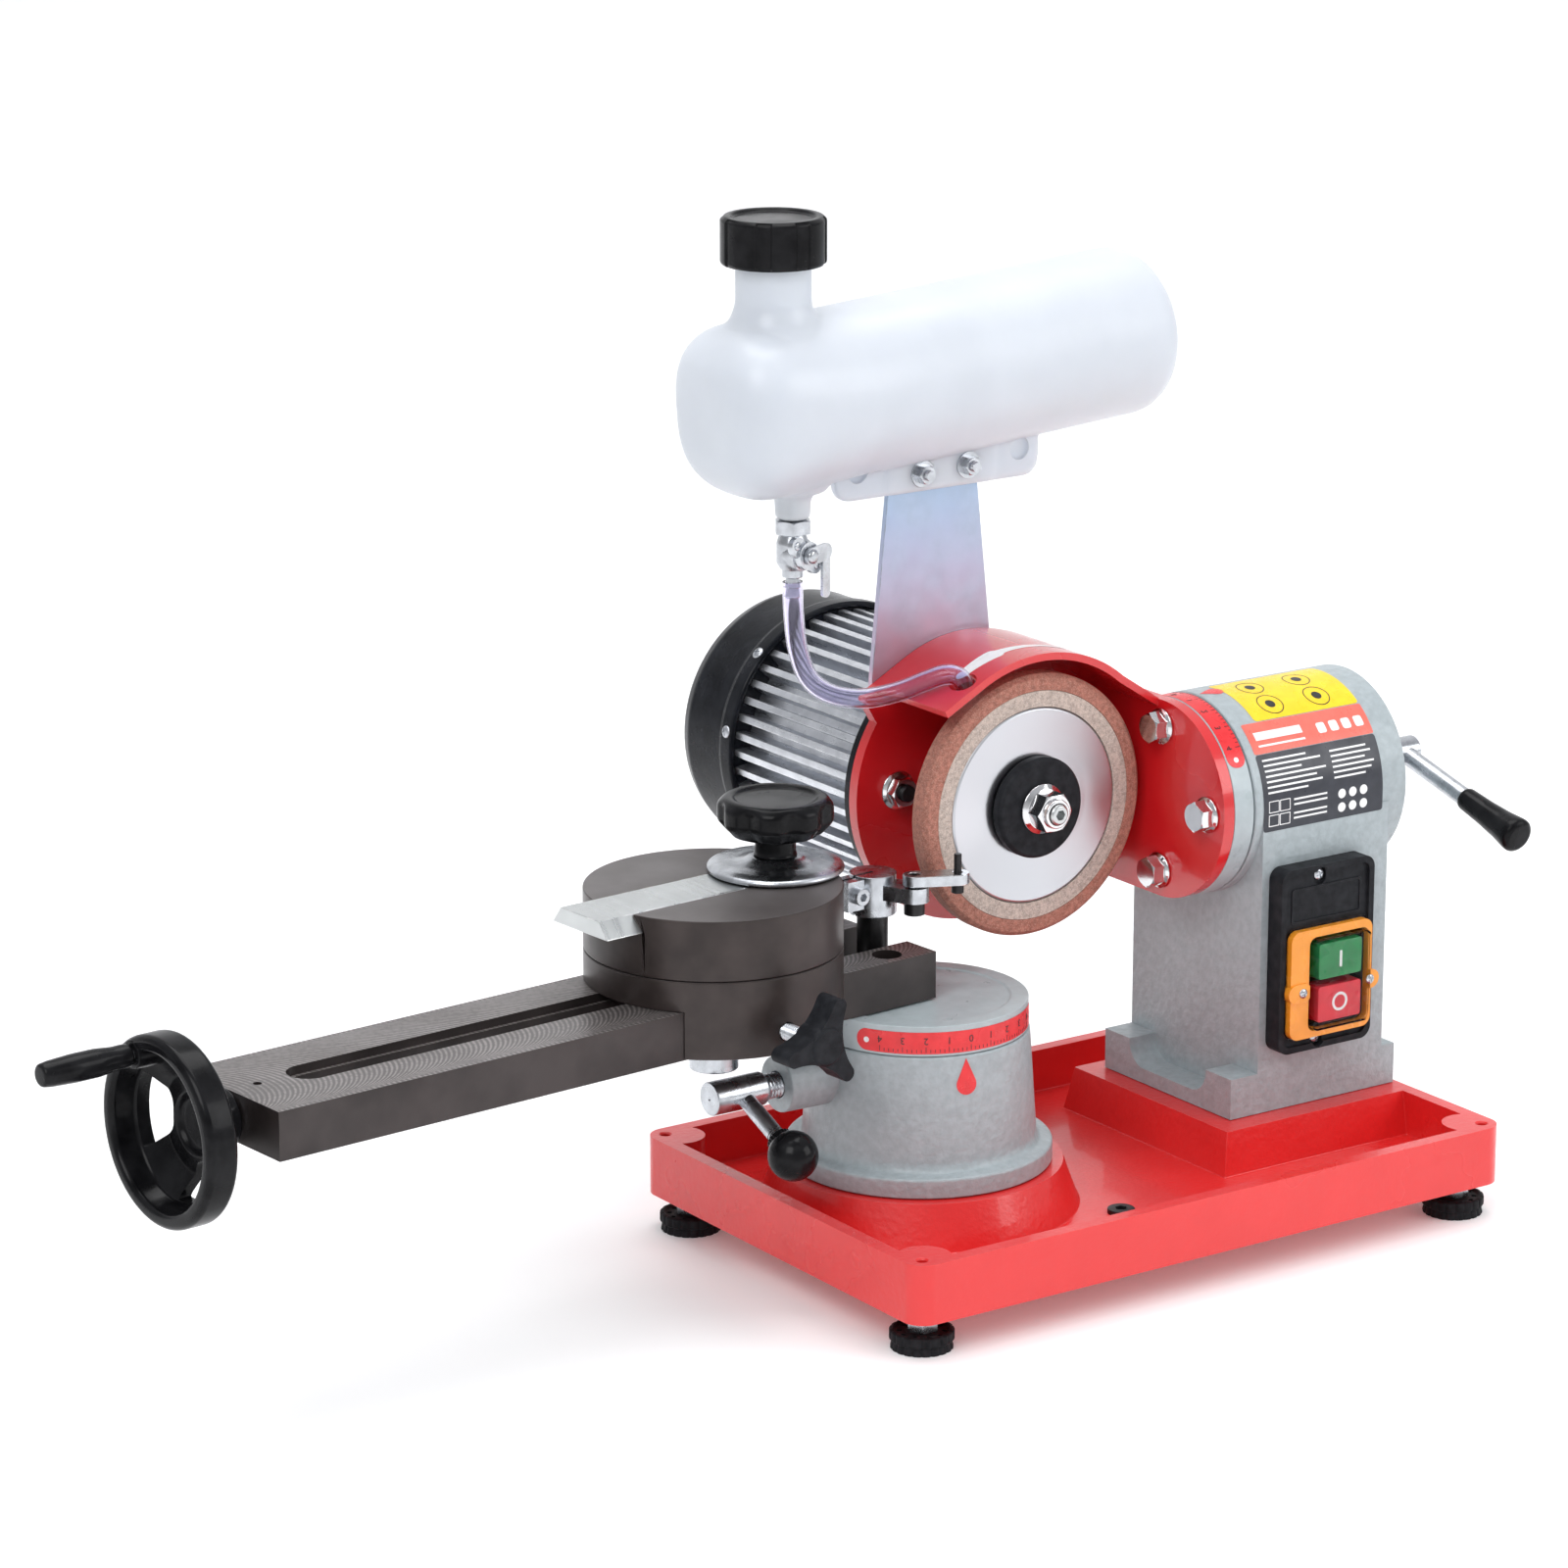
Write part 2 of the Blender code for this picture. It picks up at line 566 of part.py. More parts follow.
def blade_clamp():
    bar = flat(TABLE, "X", dovetail(0), *BAR_X)
    cut(bar, rod(TABLE, (*CLAMP, 0), Z, bore(CLAMP_STUD), 160, 175, MEDIUM))
    piece("dovetail_bar", bar, "bright_steel", (*CLAMP, BAR_Z[0]))
    at = (*CLAMP, 0)
    hole, under, rim = bore(CLAMP_STUD), 171.3, 31.4
    dish = [
        (12, 178), (14, 176.6), (rim - 3, 174.4), (rim, 173.4), (rim, under), (hole, under), (hole, 178),
    ]
    piece("clamp_washer", turned(TABLE, at, Z, dish, LARGE), "chrome")
    low, high, radius, scallop = 187.3, 205.6, 26.3, 2.4
    outline = []
    for i in range(48):
        angle = 2 * math.pi * i / 48
        reach = radius - scallop * (0.5 - 0.5 * math.cos(8 * angle)) ** 2
        outline.append((CLAMP[0] + reach * math.cos(angle), CLAMP[1] + reach * math.sin(angle)))
    knob = flat(TABLE, "Z", outline, low, high)
    join(knob, rod(TABLE, at, Z, 10, 178.3, low + 1, MEDIUM), rod(TABLE, at, Z, CLAMP_STUD, 165, 179, MEDIUM))
    piece("clamp_knob", knob, "black_plastic", (*CLAMP, 165))


def star_knob():
    x, z = STAR_AXIS
    lobe_angle, mean, swing = 68.0, 15.0, 8.0
    outline = []
    for i in range(48):
        angle = 2 * math.pi * i / 48
        reach = mean + swing * math.cos(3 * (angle - math.radians(lobe_angle)))
        outline.append((x + reach * math.cos(angle), z + reach * math.sin(angle)))
    knob = flat(TABLE, "Y", outline, -61, -47)
    join(knob, rod(TABLE, (x, 0, z), Y, 4, -48, BEAM_Y[0] - 0.4, SMALL))
    piece("star_knob", knob, "black_plastic", (x, -47, z))


# ---- tooth stop ----


def tooth_stop():
    post = rod(TABLE, (*POST, 0), Z, POST_RADIUS, POST_FOOT, POST_TOP, MEDIUM)
    piece("stop_post", post, "black_oxide", (*POST, POST_FOOT))

    hub_z, arm_z = (140.3, 159.5), (148.5, 155.5)
    hub = rod(TABLE, (*POST, 0), Z, 11, *hub_z, MEDIUM)
    arm = flat(TABLE, "Z", link_outline(POST, LINK_PIVOT, 6.8), *arm_z)
    lug = box(TABLE, (POST[0] - 19, POST[1] - 5, 145), (POST[0] - 6, POST[1] + 5, 158))
    join(hub, arm, lug)
    screw_radius = 2.5
    cut(
        hub,
        rod(TABLE, (*POST, 0), Z, bore(POST_RADIUS), hub_z[0] - 2, hub_z[1] + 2, MEDIUM),
        box(TABLE, (POST[0] - 21, POST[1] - 0.9, 138), (POST[0], POST[1] + 0.9, 162)),
        rod(TABLE, (*LINK_PIVOT, 0), Z, bore(screw_radius, SMALL), 146, 158, SMALL),
    )
    piece("stop_clamp", hub, "zinc", (*POST, 150))

    link_z, pin_radius = (156.0, 161.3), 1.8
    tip_hole = rod(TABLE, (*LINK_TIP, 0), Z, bore(pin_radius, SMALL), 154, 163, SMALL)
    pivot_hole = rod(TABLE, (*LINK_PIVOT, 0), Z, bore(screw_radius, SMALL), 154, 163, SMALL)
    link = flat(TABLE, "Z", link_outline(LINK_PIVOT, LINK_TIP, 5.5), *link_z)
    piece("stop_link", cut(link, tip_hole, pivot_hole), "zinc", (*LINK_PIVOT, link_z[0]))

    pin_head = [
        (0, 170), (pin_radius, 170), (pin_radius, 155.7), (2.9, 155.7), (2.9, 151.5), (0, 151.5),
    ]
    piece("stop_pin", turned(TABLE, (*LINK_TIP, 0), Z, pin_head, SMALL), "black_oxide")
    screw = [
        (0, 161), (screw_radius, 161), (screw_radius, 148.1), (4.8, 148.1), (4.8, 142.2), (0, 142.2),
    ]
    piece("stop_screw", turned(TABLE, (*LINK_PIVOT, 0), Z, screw, SMALL), "black_oxide")


# ---- column and switch ----


def column():
    y0, y1 = COLUMN_Y
    barrel_y, barrel_z = BARREL
    body = box(TRAY, (COLUMN_X[0], y0, COLUMN_FOOT), (COLUMN_X[1], y1, barrel_z - 6))
    plinth = box(TRAY, (PLINTH_X[0], y0, COLUMN_FOOT), (PLINTH_X[1], y1, PLINTH_TOP))
    axis = (0, barrel_y, barrel_z)
    barrel = rod(TRAY, axis, X, BARREL_RADIUS, *BARREL_X, LARGE)
    join(body, plinth, barrel)
    shaft_hole = bore(TILT_SHAFT_RADIUS, MEDIUM)
    tools = [
        box(TRAY, (263, y0 + 10, 20), (319, y1 - 10, 120)),
        rod(TRAY, axis, X, shaft_hole, BARREL_X[0] - 2, BARREL_X[1] - 4, MEDIUM),
        rod(TRAY, axis, X, bore(CLAMP_SCREW_RADIUS, SMALL), BARREL_X[1] - 6, BARREL_X[1] + 2, SMALL),
        box(TRAY, (271, y0 - 2, 66), (311, y0 + 12, 117)),
    ]
    middle, scoop, floor = (y0 + y1) / 2, 28.0, 36.0
    outline = [(middle + scoop, PLINTH_TOP + 1), (middle - scoop, PLINTH_TOP + 1)]
    outline += arc((middle - scoop + 12, floor + 12), 12, 180, 270, 4)
    outline += arc((middle + scoop - 12, floor + 12), 12, 270, 360, 4)
    clear = 0.05
    tools.append(flat(TRAY, "X", outline, PLINTH_X[0] - 1, COLUMN_X[0] - clear))
    tools.append(flat(TRAY, "X", outline, COLUMN_X[1] + clear, PLINTH_X[1] + 1))
    cut(body, *tools)
    piece("column", body, "grey_paint", (291, middle, COLUMN_FOOT))


def switch():
    back = COLUMN_Y[0] - GAP
    panel = SWITCH_FRONT + 1.5
    hole_x, hole_z = (275.0, 307.0), (70.0, 113.0)
    plate = flat(TRAY, "Y", rounded(SWITCH_X, SWITCH_Z, 5), SWITCH_FRONT, back)
    inner = ((SWITCH_X[0] + 2, SWITCH_X[1] - 2), (SWITCH_Z[0] + 2, SWITCH_Z[1] - 2))
    cut(plate, flat(TRAY, "Y", rounded(*inner, 3.5), SWITCH_FRONT - 1, panel))
    cut(plate, box(TRAY, (hole_x[0], panel - 1, hole_z[0]), (hole_x[1], back + 1, hole_z[1])))
    middle_x, middle_z = sum(SWITCH_X) / 2, sum(SWITCH_Z) / 2
    piece("switch_plate", plate, "matt_black_plastic", (middle_x, back, middle_z))

    frame_front, frame_back = SWITCH_FRONT - 2.5, panel - GAP
    window = ((272.5, 308.5), (68.5, 114.5))
    frame = flat(
        TRAY, "Y", rounded((261.5, 310.5), (65.5, 118.5), 5), frame_front, frame_back,
        [rounded(*window, 4)],
    )
    piece("switch_frame", frame, "yellow_plastic", (middle_x, frame_back, 91.5))

    wall, front = 1.0, 62.2
    x, z = (window[0][0] + 0.6, window[0][1] - 0.6), (window[1][0] + 0.6, window[1][1] - 0.6)
    cover = flat(TRAY, "Y", rounded(x, z, 3.5), front, frame_back)
    inside = ((x[0] + wall, x[1] - wall), (z[0] + wall, z[1] - wall))
    cut(cover, flat(TRAY, "Y", rounded(*inside, 2.5), front + wall, frame_back + 1))
    piece("switch_cover", cover, "clear_plastic", (middle_x, frame_back, 91.5))

    button_y = (64.2, 75.0)
    for name, button_z, finish in (
        ("start_button", START_Z, "green_plastic"), ("stop_button", STOP_Z, "red_plastic"),
    ):
        button = flat(TRAY, "Y", rounded(BUTTON_X, button_z, 1.5, 2), *button_y)
        piece(name, button, finish, (sum(BUTTON_X) / 2, button_y[1], sum(button_z) / 2))
    body_front = button_y[1] + BUTTON_TRAVEL + 0.6
    body = box(TRAY, (273, body_front, 68), (309, 106, 115))
    piece("switch_body", body, "matt_black_plastic", (middle_x, body_front, 91.5))


# ---- tilting bracket and its clamp ----


def scale_ring():
    low, high = PLATE_B_X[1] + GAP, BARREL_X[0] - 0.7
    hole = bore(TILT_SHAFT_RADIUS, MEDIUM)
    profile = [(PLATE_B_RADIUS, high), (PLATE_B_RADIUS, low), (hole, low), (hole, high)]
    ring = turned(TRAY, (0, *BARREL), X, profile, LARGE)
    for at in bolt_places():
        cut(ring, rod(TRAY, (0, *at), X, bore(BOLT_RADIUS, SMALL), low - 2, high - 1.5, SMALL))
    piece("scale_ring", ring, "grey_paint")


def bolt_places():
    y, z = BARREL
    reach = BOLT_CIRCLE
    return [(y, z + reach), (y - reach, z), (y, z - reach), (y + reach, z)]


def bracket_bolts():
    names = ("bracket_bolt_top", "bracket_bolt_front", "bracket_bolt_bottom", "bracket_bolt_rear")
    face = PLATE_B_X[0] - GAP
    for name, at in zip(names, bolt_places()):
        axis = (0, *at)
        bolt = rod(TRAY, axis, X, 7.2, face - 7.5, face - 1.2, 6)
        join(bolt, rod(TRAY, axis, X, 8.3, face - 1.6, face, MEDIUM))
        join(bolt, rod(TRAY, axis, X, BOLT_RADIUS, face - 0.5, face + 15.5, SMALL))
        piece(name, bolt, "chrome", (face, *at))


def head_bracket():
    x, z = SPINDLE
    y0, y1 = PLATE_A_Y
    right, top = PLATE_B_X[0] + 3, BARREL[1] + PLATE_B_RADIUS
    bottom = BARREL[1] - PLATE_B_RADIUS
    ear = [(101, 228), (101.3, 231.5), (103.5, 232.4), (HOOD_EDGE[0] + 0.2, HOOD_EDGE[1] - 0.5)]
    crown = arc(SPINDLE, HOOD_RADIUS - 0.5, *HOOD_ARC, 8)
    meets = -math.degrees(math.asin((z - bottom - 1) / PLATE_A_RADIUS))
    below = arc(SPINDLE, PLATE_A_RADIUS, meets, -214, 18)
    outline = ear + crown + [(right, top - 2), (right, bottom + 1)] + below
    plate = flat(TRAY, "Y", outline, y0, y1, [arc(SPINDLE, 16, 0, 342, 19)])
    lean = math.radians(HOOD_ARC[0])
    edge_under = (HOOD_EDGE[0] - HOOD_WALL * math.cos(lean), HOOD_EDGE[1] - HOOD_WALL * math.sin(lean))
    outside = [HOOD_EDGE] + arc(SPINDLE, HOOD_RADIUS, *HOOD_ARC, 9)
    inside = arc(SPINDLE, HOOD_RADIUS - HOOD_WALL, HOOD_ARC[1], HOOD_ARC[0], 9) + [edge_under]
    hood_end = [(right, top - 1.5), (right, top - 5.5)]
    hood = flat(TRAY, "Y", outside + hood_end + inside, HOOD_FRONT, y0 + 1)
    side = arc(BARREL, PLATE_B_RADIUS, 90, 270, 16)
    plate_b = flat(TRAY, "X", side + [(y1 - 0.3, bottom), (y1 - 0.3, top)], *PLATE_B_X)
    join(plate, plate_b, hood)
    hole = bore(BOLT_RADIUS, SMALL)
    for at in bolt_places():
        cut(plate, rod(TRAY, (0, *at), X, hole, PLATE_B_X[0] - 2, PLATE_B_X[1] + 2, SMALL))
    end, before = Vector(HOSE_ROUTE[-1]), Vector(HOSE_ROUTE[-2])
    cut(plate, rod(TRAY, end, (end - before).normalized(), HOSE_RADIUS + 1.6, -16, 8, MEDIUM))
    piece("head_bracket", plate, "red_paint", (BARREL_X[0], *BARREL))


def tilt_clamp():
    axis = (0, *BARREL)
    start, end, depth = PLATE_B_X[1] + 2 * GAP, BARREL_X[1] - 6, 25
    hole = bore(CLAMP_SCREW_RADIUS, MEDIUM)
    profile = [
        (0, end - depth), (hole, end - depth), (hole, end), (TILT_SHAFT_RADIUS, end),
        (TILT_SHAFT_RADIUS, start), (0, start),
    ]
    piece("tilt_shaft", turned(TRAY, axis, X, profile, MEDIUM), "bright_steel")

    out, shoulder, tip = 385.0, BARREL_X[1] + GAP, end - depth + 1
    thick = 7.0
    spindle = [
        (0, out), (thick - 1, out), (thick, out - 1), (thick, shoulder), (CLAMP_SCREW_RADIUS, shoulder),
        (CLAMP_SCREW_RADIUS, tip), (0, tip),
    ]
    lever = turned(TRAY, axis, X, spindle, MEDIUM)
    dip = math.radians(15)
    heading = Vector((0, -math.cos(dip), -math.sin(dip)))
    hub = (378, *BARREL)
    grip_start, grip_end, core = 48.5, 89.0, 3.0
    join(lever, rod(TRAY, hub, heading, 4.5, 1, grip_start - GAP, SMALL))
    join(lever, rod(TRAY, hub, heading, core, 40, grip_end - 5, SMALL))
    piece("tilt_lever", lever, "zinc")
    hole = bore(core, MEDIUM)
    grip = [
        (0, grip_end), (7.4, grip_end), (8.5, grip_end - 1.5), (5.6, grip_start), (hole, grip_start),
        (hole, grip_end - 4), (0, grip_end - 4),
    ]
    piece("tilt_lever_grip", turned(TRAY, hub, heading, grip, MEDIUM), "black_plastic")


# ---- grinding wheel and motor ----


def ring(name, finish, inner, outer, low, high, sides=MEDIUM):
    """A plain ring about the wheel's axis."""
    profile = [(outer, high), (outer, low), (inner, low), (inner, high)]
    return piece(name, turned(TRAY, SPINDLE_AT, Y, profile, sides), finish)


def grinding_wheel():
    low, high = WHEEL_Y
    edge = 1.0
    tread = [
        (WHEEL_RADIUS - edge, high), (WHEEL_RADIUS, high - edge), (WHEEL_RADIUS, low + edge),
        (WHEEL_RADIUS - edge, low), (CORE_RADIUS + GAP, low), (CORE_RADIUS + GAP, high),
    ]
    piece("abrasive_ring", turned(TRAY, SPINDLE_AT, Y, tread, LARGE), "brown_abrasive")
    ring("wheel_core", "aluminium", bore(NOSE_RADIUS), CORE_RADIUS - 0.1, low, high, LARGE)
    washer_front = low - GAP - 5.5
    ring("wheel_washer", "matt_black_plastic", bore(NOSE_RADIUS), 24, washer_front, low - GAP, MEDIUM)
    seat = washer_front - GAP
    nut = rod(TRAY, SPINDLE_AT, Y, 9.8, seat - 10.5, seat - 2, 6)
    join(nut, rod(TRAY, SPINDLE_AT, Y, 12, seat - 2.6, seat, MEDIUM))
    cut(nut, rod(TRAY, SPINDLE_AT, Y, bore(NOSE_RADIUS), seat - 20, seat + 2, MEDIUM))
    piece("wheel_nut", nut, "chrome", (SPINDLE[0], seat, SPINDLE[1]))


def motor():
    body_low, body_high = MOTOR_Y
    low, high, shoulder, fan_end = 113.5, 325, WHEEL_Y[1] + 0.3, 300
    shaft = [
        (0, high), (NOSE_RADIUS, high), (NOSE_RADIUS, fan_end), (SHAFT_RADIUS, fan_end),
        (SHAFT_RADIUS, shoulder), (NOSE_RADIUS, shoulder), (NOSE_RADIUS, low + 1), (NOSE_RADIUS - 1, low),
        (2.5, low), (2.5, low + 5), (0, low + 5),
    ]
    piece("motor_shaft", turned(TRAY, SPINDLE_AT, Y, shaft, MEDIUM), "bright_steel")

    seat, hub, face = BEARING[1] + 0.3, 23.0, PLATE_A_Y[1] + GAP
    bearing_y = (196.0, 206.0)
    flange = [
        (hub, bearing_y[1]), (hub, body_low - GAP), (FLANGE_RADIUS, body_low - GAP), (FLANGE_RADIUS, face),
        (10, face), (10, bearing_y[0] - GAP), (seat, bearing_y[0] - GAP), (seat, bearing_y[1]),
    ]
    piece("motor_end_flange", turned(TRAY, SPINDLE_AT, Y, flange, LARGE), "black_paint")
    ring("front_bearing", "bright_steel", *BEARING, *bearing_y, MEDIUM)

    outline = []
    for i in range(FINS):
        middle = 360 * i / FINS
        tip, root = 0.22 * 360 / FINS, 0.28 * 360 / FINS
        outline += arc(SPINDLE, FIN_ROOT, middle - root, middle - root, 1)[:1]
        outline += arc(SPINDLE, FIN_TIP, middle - tip, middle + tip, 1)
        outline += arc(SPINDLE, FIN_ROOT, middle + root, middle + root, 1)[:1]
    bore_hole = arc(SPINDLE, MOTOR_INNER, 0, 360 * (FINS - 1) / FINS, FINS - 1)
    housing = flat(TRAY, "Y", outline, body_low, body_high, [bore_hole])
    web = [
        (MOTOR_INNER + 2, body_high - 0.5), (MOTOR_INNER + 2, body_high - 6), (hub, body_high - 6),
        (hub, body_high - 12), (seat, body_high - 12), (seat, body_high - 0.5),
    ]
    join(housing, turned(TRAY, SPINDLE_AT, Y, web, LARGE))
    piece("motor_housing", housing, "aluminium", (SPINDLE[0], body_low, SPINDLE[1]))
    ring("rear_bearing", "bright_steel", *BEARING, body_high - 11, body_high - 1, MEDIUM)
    ring("rotor_core", "laminations", bore(SHAFT_RADIUS), 28, 216, 271, MEDIUM)
    ring("stator_core", "laminations", 29.5, MOTOR_INNER - 0.6, 213, 274, MEDIUM)

    cover_low, cover_high, skin = body_high + GAP, 337.0, 2.0
    cover = [
        (FLANGE_RADIUS - 5, cover_high), (FLANGE_RADIUS, cover_high - 5), (FLANGE_RADIUS, cover_low),
        (FLANGE_RADIUS - skin, cover_low), (FLANGE_RADIUS - skin, cover_high - 6),
        (FLANGE_RADIUS - 6, cover_high - skin), (14, cover_high - skin), (14, cover_high),
    ]
    shell = turned(TRAY, SPINDLE_AT, Y, cover, LARGE)
    x, z = SPINDLE
    for i in range(6):
        angle = math.radians(60 * i + 30)
        at = (x + 38 * math.cos(angle), 0, z + 38 * math.sin(angle))
        cut(shell, rod(TRAY, at, Y, 11, cover_high - 4, cover_high + 2, SMALL))
    piece("fan_cover", shell, "black_paint")

    fan = rod(TRAY, SPINDLE_AT, Y, 13, 303, 322, MEDIUM)
    join(fan, rod(TRAY, SPINDLE_AT, Y, 50, 303.5, 306, MEDIUM))
    x, z = SPINDLE
    for i in range(6):
        blade = box(TRAY, (x + 10, 305, z - 1), (x + 48, 320, z + 1))
        join(fan, spun(blade, SPINDLE_AT, "Y", 60 * i))
    cut(fan, rod(TRAY, SPINDLE_AT, Y, bore(NOSE_RADIUS, MEDIUM), 300, 324, MEDIUM))
    piece("cooling_fan", fan, "matt_black_plastic", SPINDLE_AT)


# ---- coolant tank, tap and hose ----


def tank_bracket():
    outline = [(109, 206), (178, 206), (178, 238), (167, 337.5), (119, 337.5), (109, 238)]
    sheet = flat(TRAY, "Y", outline, *BRACKET_Y)
    cut(sheet, rod(TRAY, SPINDLE_AT, Y, FLANGE_RADIUS + 1.2, BRACKET_Y[0] - 2, BRACKET_Y[1] + 2, LARGE))
    piece("tank_bracket", sheet, "galvanised", (143, BRACKET_Y[0], 238))


def tank_profile(radius, ends, shrink):
    """The tank's outline in radius and distance along its axis, with rounded ends."""
    left, right = ends[0] + shrink, ends[1] - shrink
    r = radius - shrink
    fillet_left, fillet_right = 24 - shrink, 17 - shrink
    top = arc((r - fillet_right, right - fillet_right), fillet_right, 90, 0, 3)
    low = arc((r - fillet_left, left + fillet_left), fillet_left, 0, -90, 3)
    return [(0, right)] + top + low + [(0, left)]


def coolant_tank():
    tilt = math.radians(TANK_TILT)
    axis = Vector((math.cos(tilt), 0, math.sin(tilt)))
    at = (TANK_START[0], TANK_AXIS_Y, TANK_START[1])
    ends = (0, TANK_LENGTH)
    wall = 2.0
    body = turned(TRAY, at, axis, tank_profile(TANK_RADIUS, ends, 0), MEDIUM)
    inside = turned(TRAY, at, axis, tank_profile(TANK_RADIUS, ends, wall), MEDIUM)
    neck_at, spout_at = (NECK_X, TANK_AXIS_Y, 0), (SPOUT_X, TANK_AXIS_Y, 0)
    neck_top, spout_low = 452.0, 320.0
    join(body, rod(TRAY, neck_at, Z, NECK_RADIUS, 400, neck_top, MEDIUM))
    spout_root = rod(TRAY, spout_at, Z, 17, 333, 352, MEDIUM)
    join(body, spout_root, rod(TRAY, spout_at, Z, SPOUT_RADIUS, spout_low, 350, MEDIUM))
    flange = flat(TRAY, "Y", rounded((84, 200), (324, 352), 4), 183, 189)
    join(body, flange)
    cut(body, inside)
    cut(body, rod(TRAY, neck_at, Z, NECK_RADIUS - wall, 405, neck_top + 2, MEDIUM))
    cut(body, rod(TRAY, spout_at, Z, bore(4.5, SMALL), spout_low - 2, 356, SMALL))
    piece("coolant_tank", body, "milky_plastic")

    low, high, radius = 438.0, 460.0, 24.0
    hole = bore(NECK_RADIUS, MEDIUM)
    cap = [
        (0, high), (radius - 1.5, high), (radius, high - 1.5), (radius, low), (hole, low),
        (hole, neck_top + 0.6), (0, neck_top + 0.6),
    ]
    piece("tank_cap", turned(TRAY, neck_at, Z, cap, MEDIUM), "black_plastic")


def tap():
    at = (SPOUT_X, TANK_AXIS_Y, 0)
    low, nut_low, nut_high, body_radius, stub = 291.0, 313.5, 319.7, 7.0, 4.5
    body = rod(TRAY, at, Z, 8.6, nut_low, nut_high, 6)
    join(body, rod(TRAY, at, Z, body_radius, low, nut_low + 1, MEDIUM))
    join(body, rod(TRAY, at, Z, stub, nut_high - 1, 343, SMALL))
    boss, depth, pivot = 8.5, 10.0, 3.0
    join(body, rod(TAP, (0, 0, 0), -Y, boss, 0, depth, MEDIUM))
    cut(body, rod(TAP, (0, 0, 0), -Y, bore(pivot, SMALL), depth - 4, depth + 2, SMALL))
    piece("tap_body", body, "zinc", (*at[:2], TAP_Z))

    face, thick, reach, drop, width = depth + 0.4, 1.6, 12.5, 21.0, 5.0
    lever = box(TAP, (-4, -face - thick, -4), (reach, -face, 4))
    join(lever, box(TAP, (reach - width, -face - thick + 0.05, -drop), (reach - 0.05, -face - 0.05, 3.9)))
    join(lever, rod(TAP, (0, 0, 0), -Y, pivot, depth - 3.5, face + 0.5, SMALL))
    piece("tap_lever", lever, "zinc")


def smooth_route(points, steps):
    """Points on a Catmull-Rom curve through the given ones."""
    ends = [points[0] * 2 - points[1]] + points + [points[-1] * 2 - points[-2]]
    route = []
    for before, start, end, after in zip(ends, ends[1:], ends[2:], ends[3:]):
        for i in range(steps):
            t = i / steps
            cubic = (start - end) * 1.5 + (after - before) * 0.5
            square = before - start * 2.5 + end * 2 - after * 0.5
            route.append(start + (end - before) * 0.5 * t + square * t * t + cubic * t * t * t)
    return route + [points[-1]]


def coolant_hose():
    curve = bpy.data.curves.new("coolant_hose", "CURVE")
    curve.dimensions = "3D"
    curve.bevel_depth = HOSE_RADIUS * MM
    curve.bevel_resolution = 2
    curve.use_fill_caps = True
    route = smooth_route([Vector(p) for p in HOSE_ROUTE], 2)
    spline = curve.splines.new("POLY")
    spline.points.add(len(route) - 1)
    for point, place in zip(spline.points, route):
        point.co = (*(place * MM), 1)
    hose = bpy.data.objects.new("coolant_hose", curve)
    PARTS.objects.link(hose)
    hose.parent = TRAY
    curve.materials.append(finish_of("coolant_hose", "clear_plastic"))


clear_scene()
PARTS = new_collection("wet_grinding_sharpener")
HELPERS = new_collection("cutters")
TRAY = new_frame("tray_frame", None, [-value for value in ORIGIN])
TABLE = new_frame("table_frame", TRAY, (*BASE_CENTRE, 0), TABLE_TURN)
TAP = new_frame("tap_frame", TRAY, (SPOUT_X, TANK_AXIS_Y, TAP_Z), TAP_TURN)

base_tray()
feet()
swivel_base()
base_lock()
turntable()
table_beam()
leadscrew()
handwheel()
crank_grip()
carriage()
swivel_plate()
blade_clamp()
star_knob()
tooth_stop()
column()
switch()
scale_ring()
bracket_bolts()
head_bracket()
tilt_clamp()
grinding_wheel()
motor()
tank_bracket()
coolant_tank()
tap()
coolant_hose()
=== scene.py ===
import json
import math

import bmesh
import bpy
from mathutils import Matrix, Vector

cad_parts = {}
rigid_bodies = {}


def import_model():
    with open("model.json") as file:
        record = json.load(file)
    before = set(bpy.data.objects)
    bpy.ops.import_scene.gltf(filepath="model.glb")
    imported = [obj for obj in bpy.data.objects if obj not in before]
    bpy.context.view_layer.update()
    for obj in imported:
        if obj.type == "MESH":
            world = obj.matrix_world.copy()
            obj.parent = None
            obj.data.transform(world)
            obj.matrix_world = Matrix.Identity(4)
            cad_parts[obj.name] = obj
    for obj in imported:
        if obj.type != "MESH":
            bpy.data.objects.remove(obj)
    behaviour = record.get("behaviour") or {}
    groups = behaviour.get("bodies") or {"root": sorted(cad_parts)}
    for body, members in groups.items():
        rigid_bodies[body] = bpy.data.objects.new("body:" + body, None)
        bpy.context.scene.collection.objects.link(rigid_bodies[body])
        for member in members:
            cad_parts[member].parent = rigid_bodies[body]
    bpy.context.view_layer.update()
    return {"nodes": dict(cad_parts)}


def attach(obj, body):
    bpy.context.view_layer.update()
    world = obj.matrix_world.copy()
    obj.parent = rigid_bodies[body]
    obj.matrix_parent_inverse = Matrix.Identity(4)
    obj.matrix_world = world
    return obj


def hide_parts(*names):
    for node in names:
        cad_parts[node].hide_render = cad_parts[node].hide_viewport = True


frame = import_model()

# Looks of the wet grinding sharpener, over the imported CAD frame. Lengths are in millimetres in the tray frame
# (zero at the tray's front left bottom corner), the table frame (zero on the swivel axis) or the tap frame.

MM = 0.001
X, Y, Z = Vector((1, 0, 0)), Vector((0, 1, 0)), Vector((0, 0, 1))
ORIGIN = Vector((15.84, 168.5, -17.0))
BASE_CENTRE, TABLE_TURN, TAP_TURN = (88.0, 121.0), 4.4, 15.0
TAP_AT = (62.0, 186.0, 304.0)
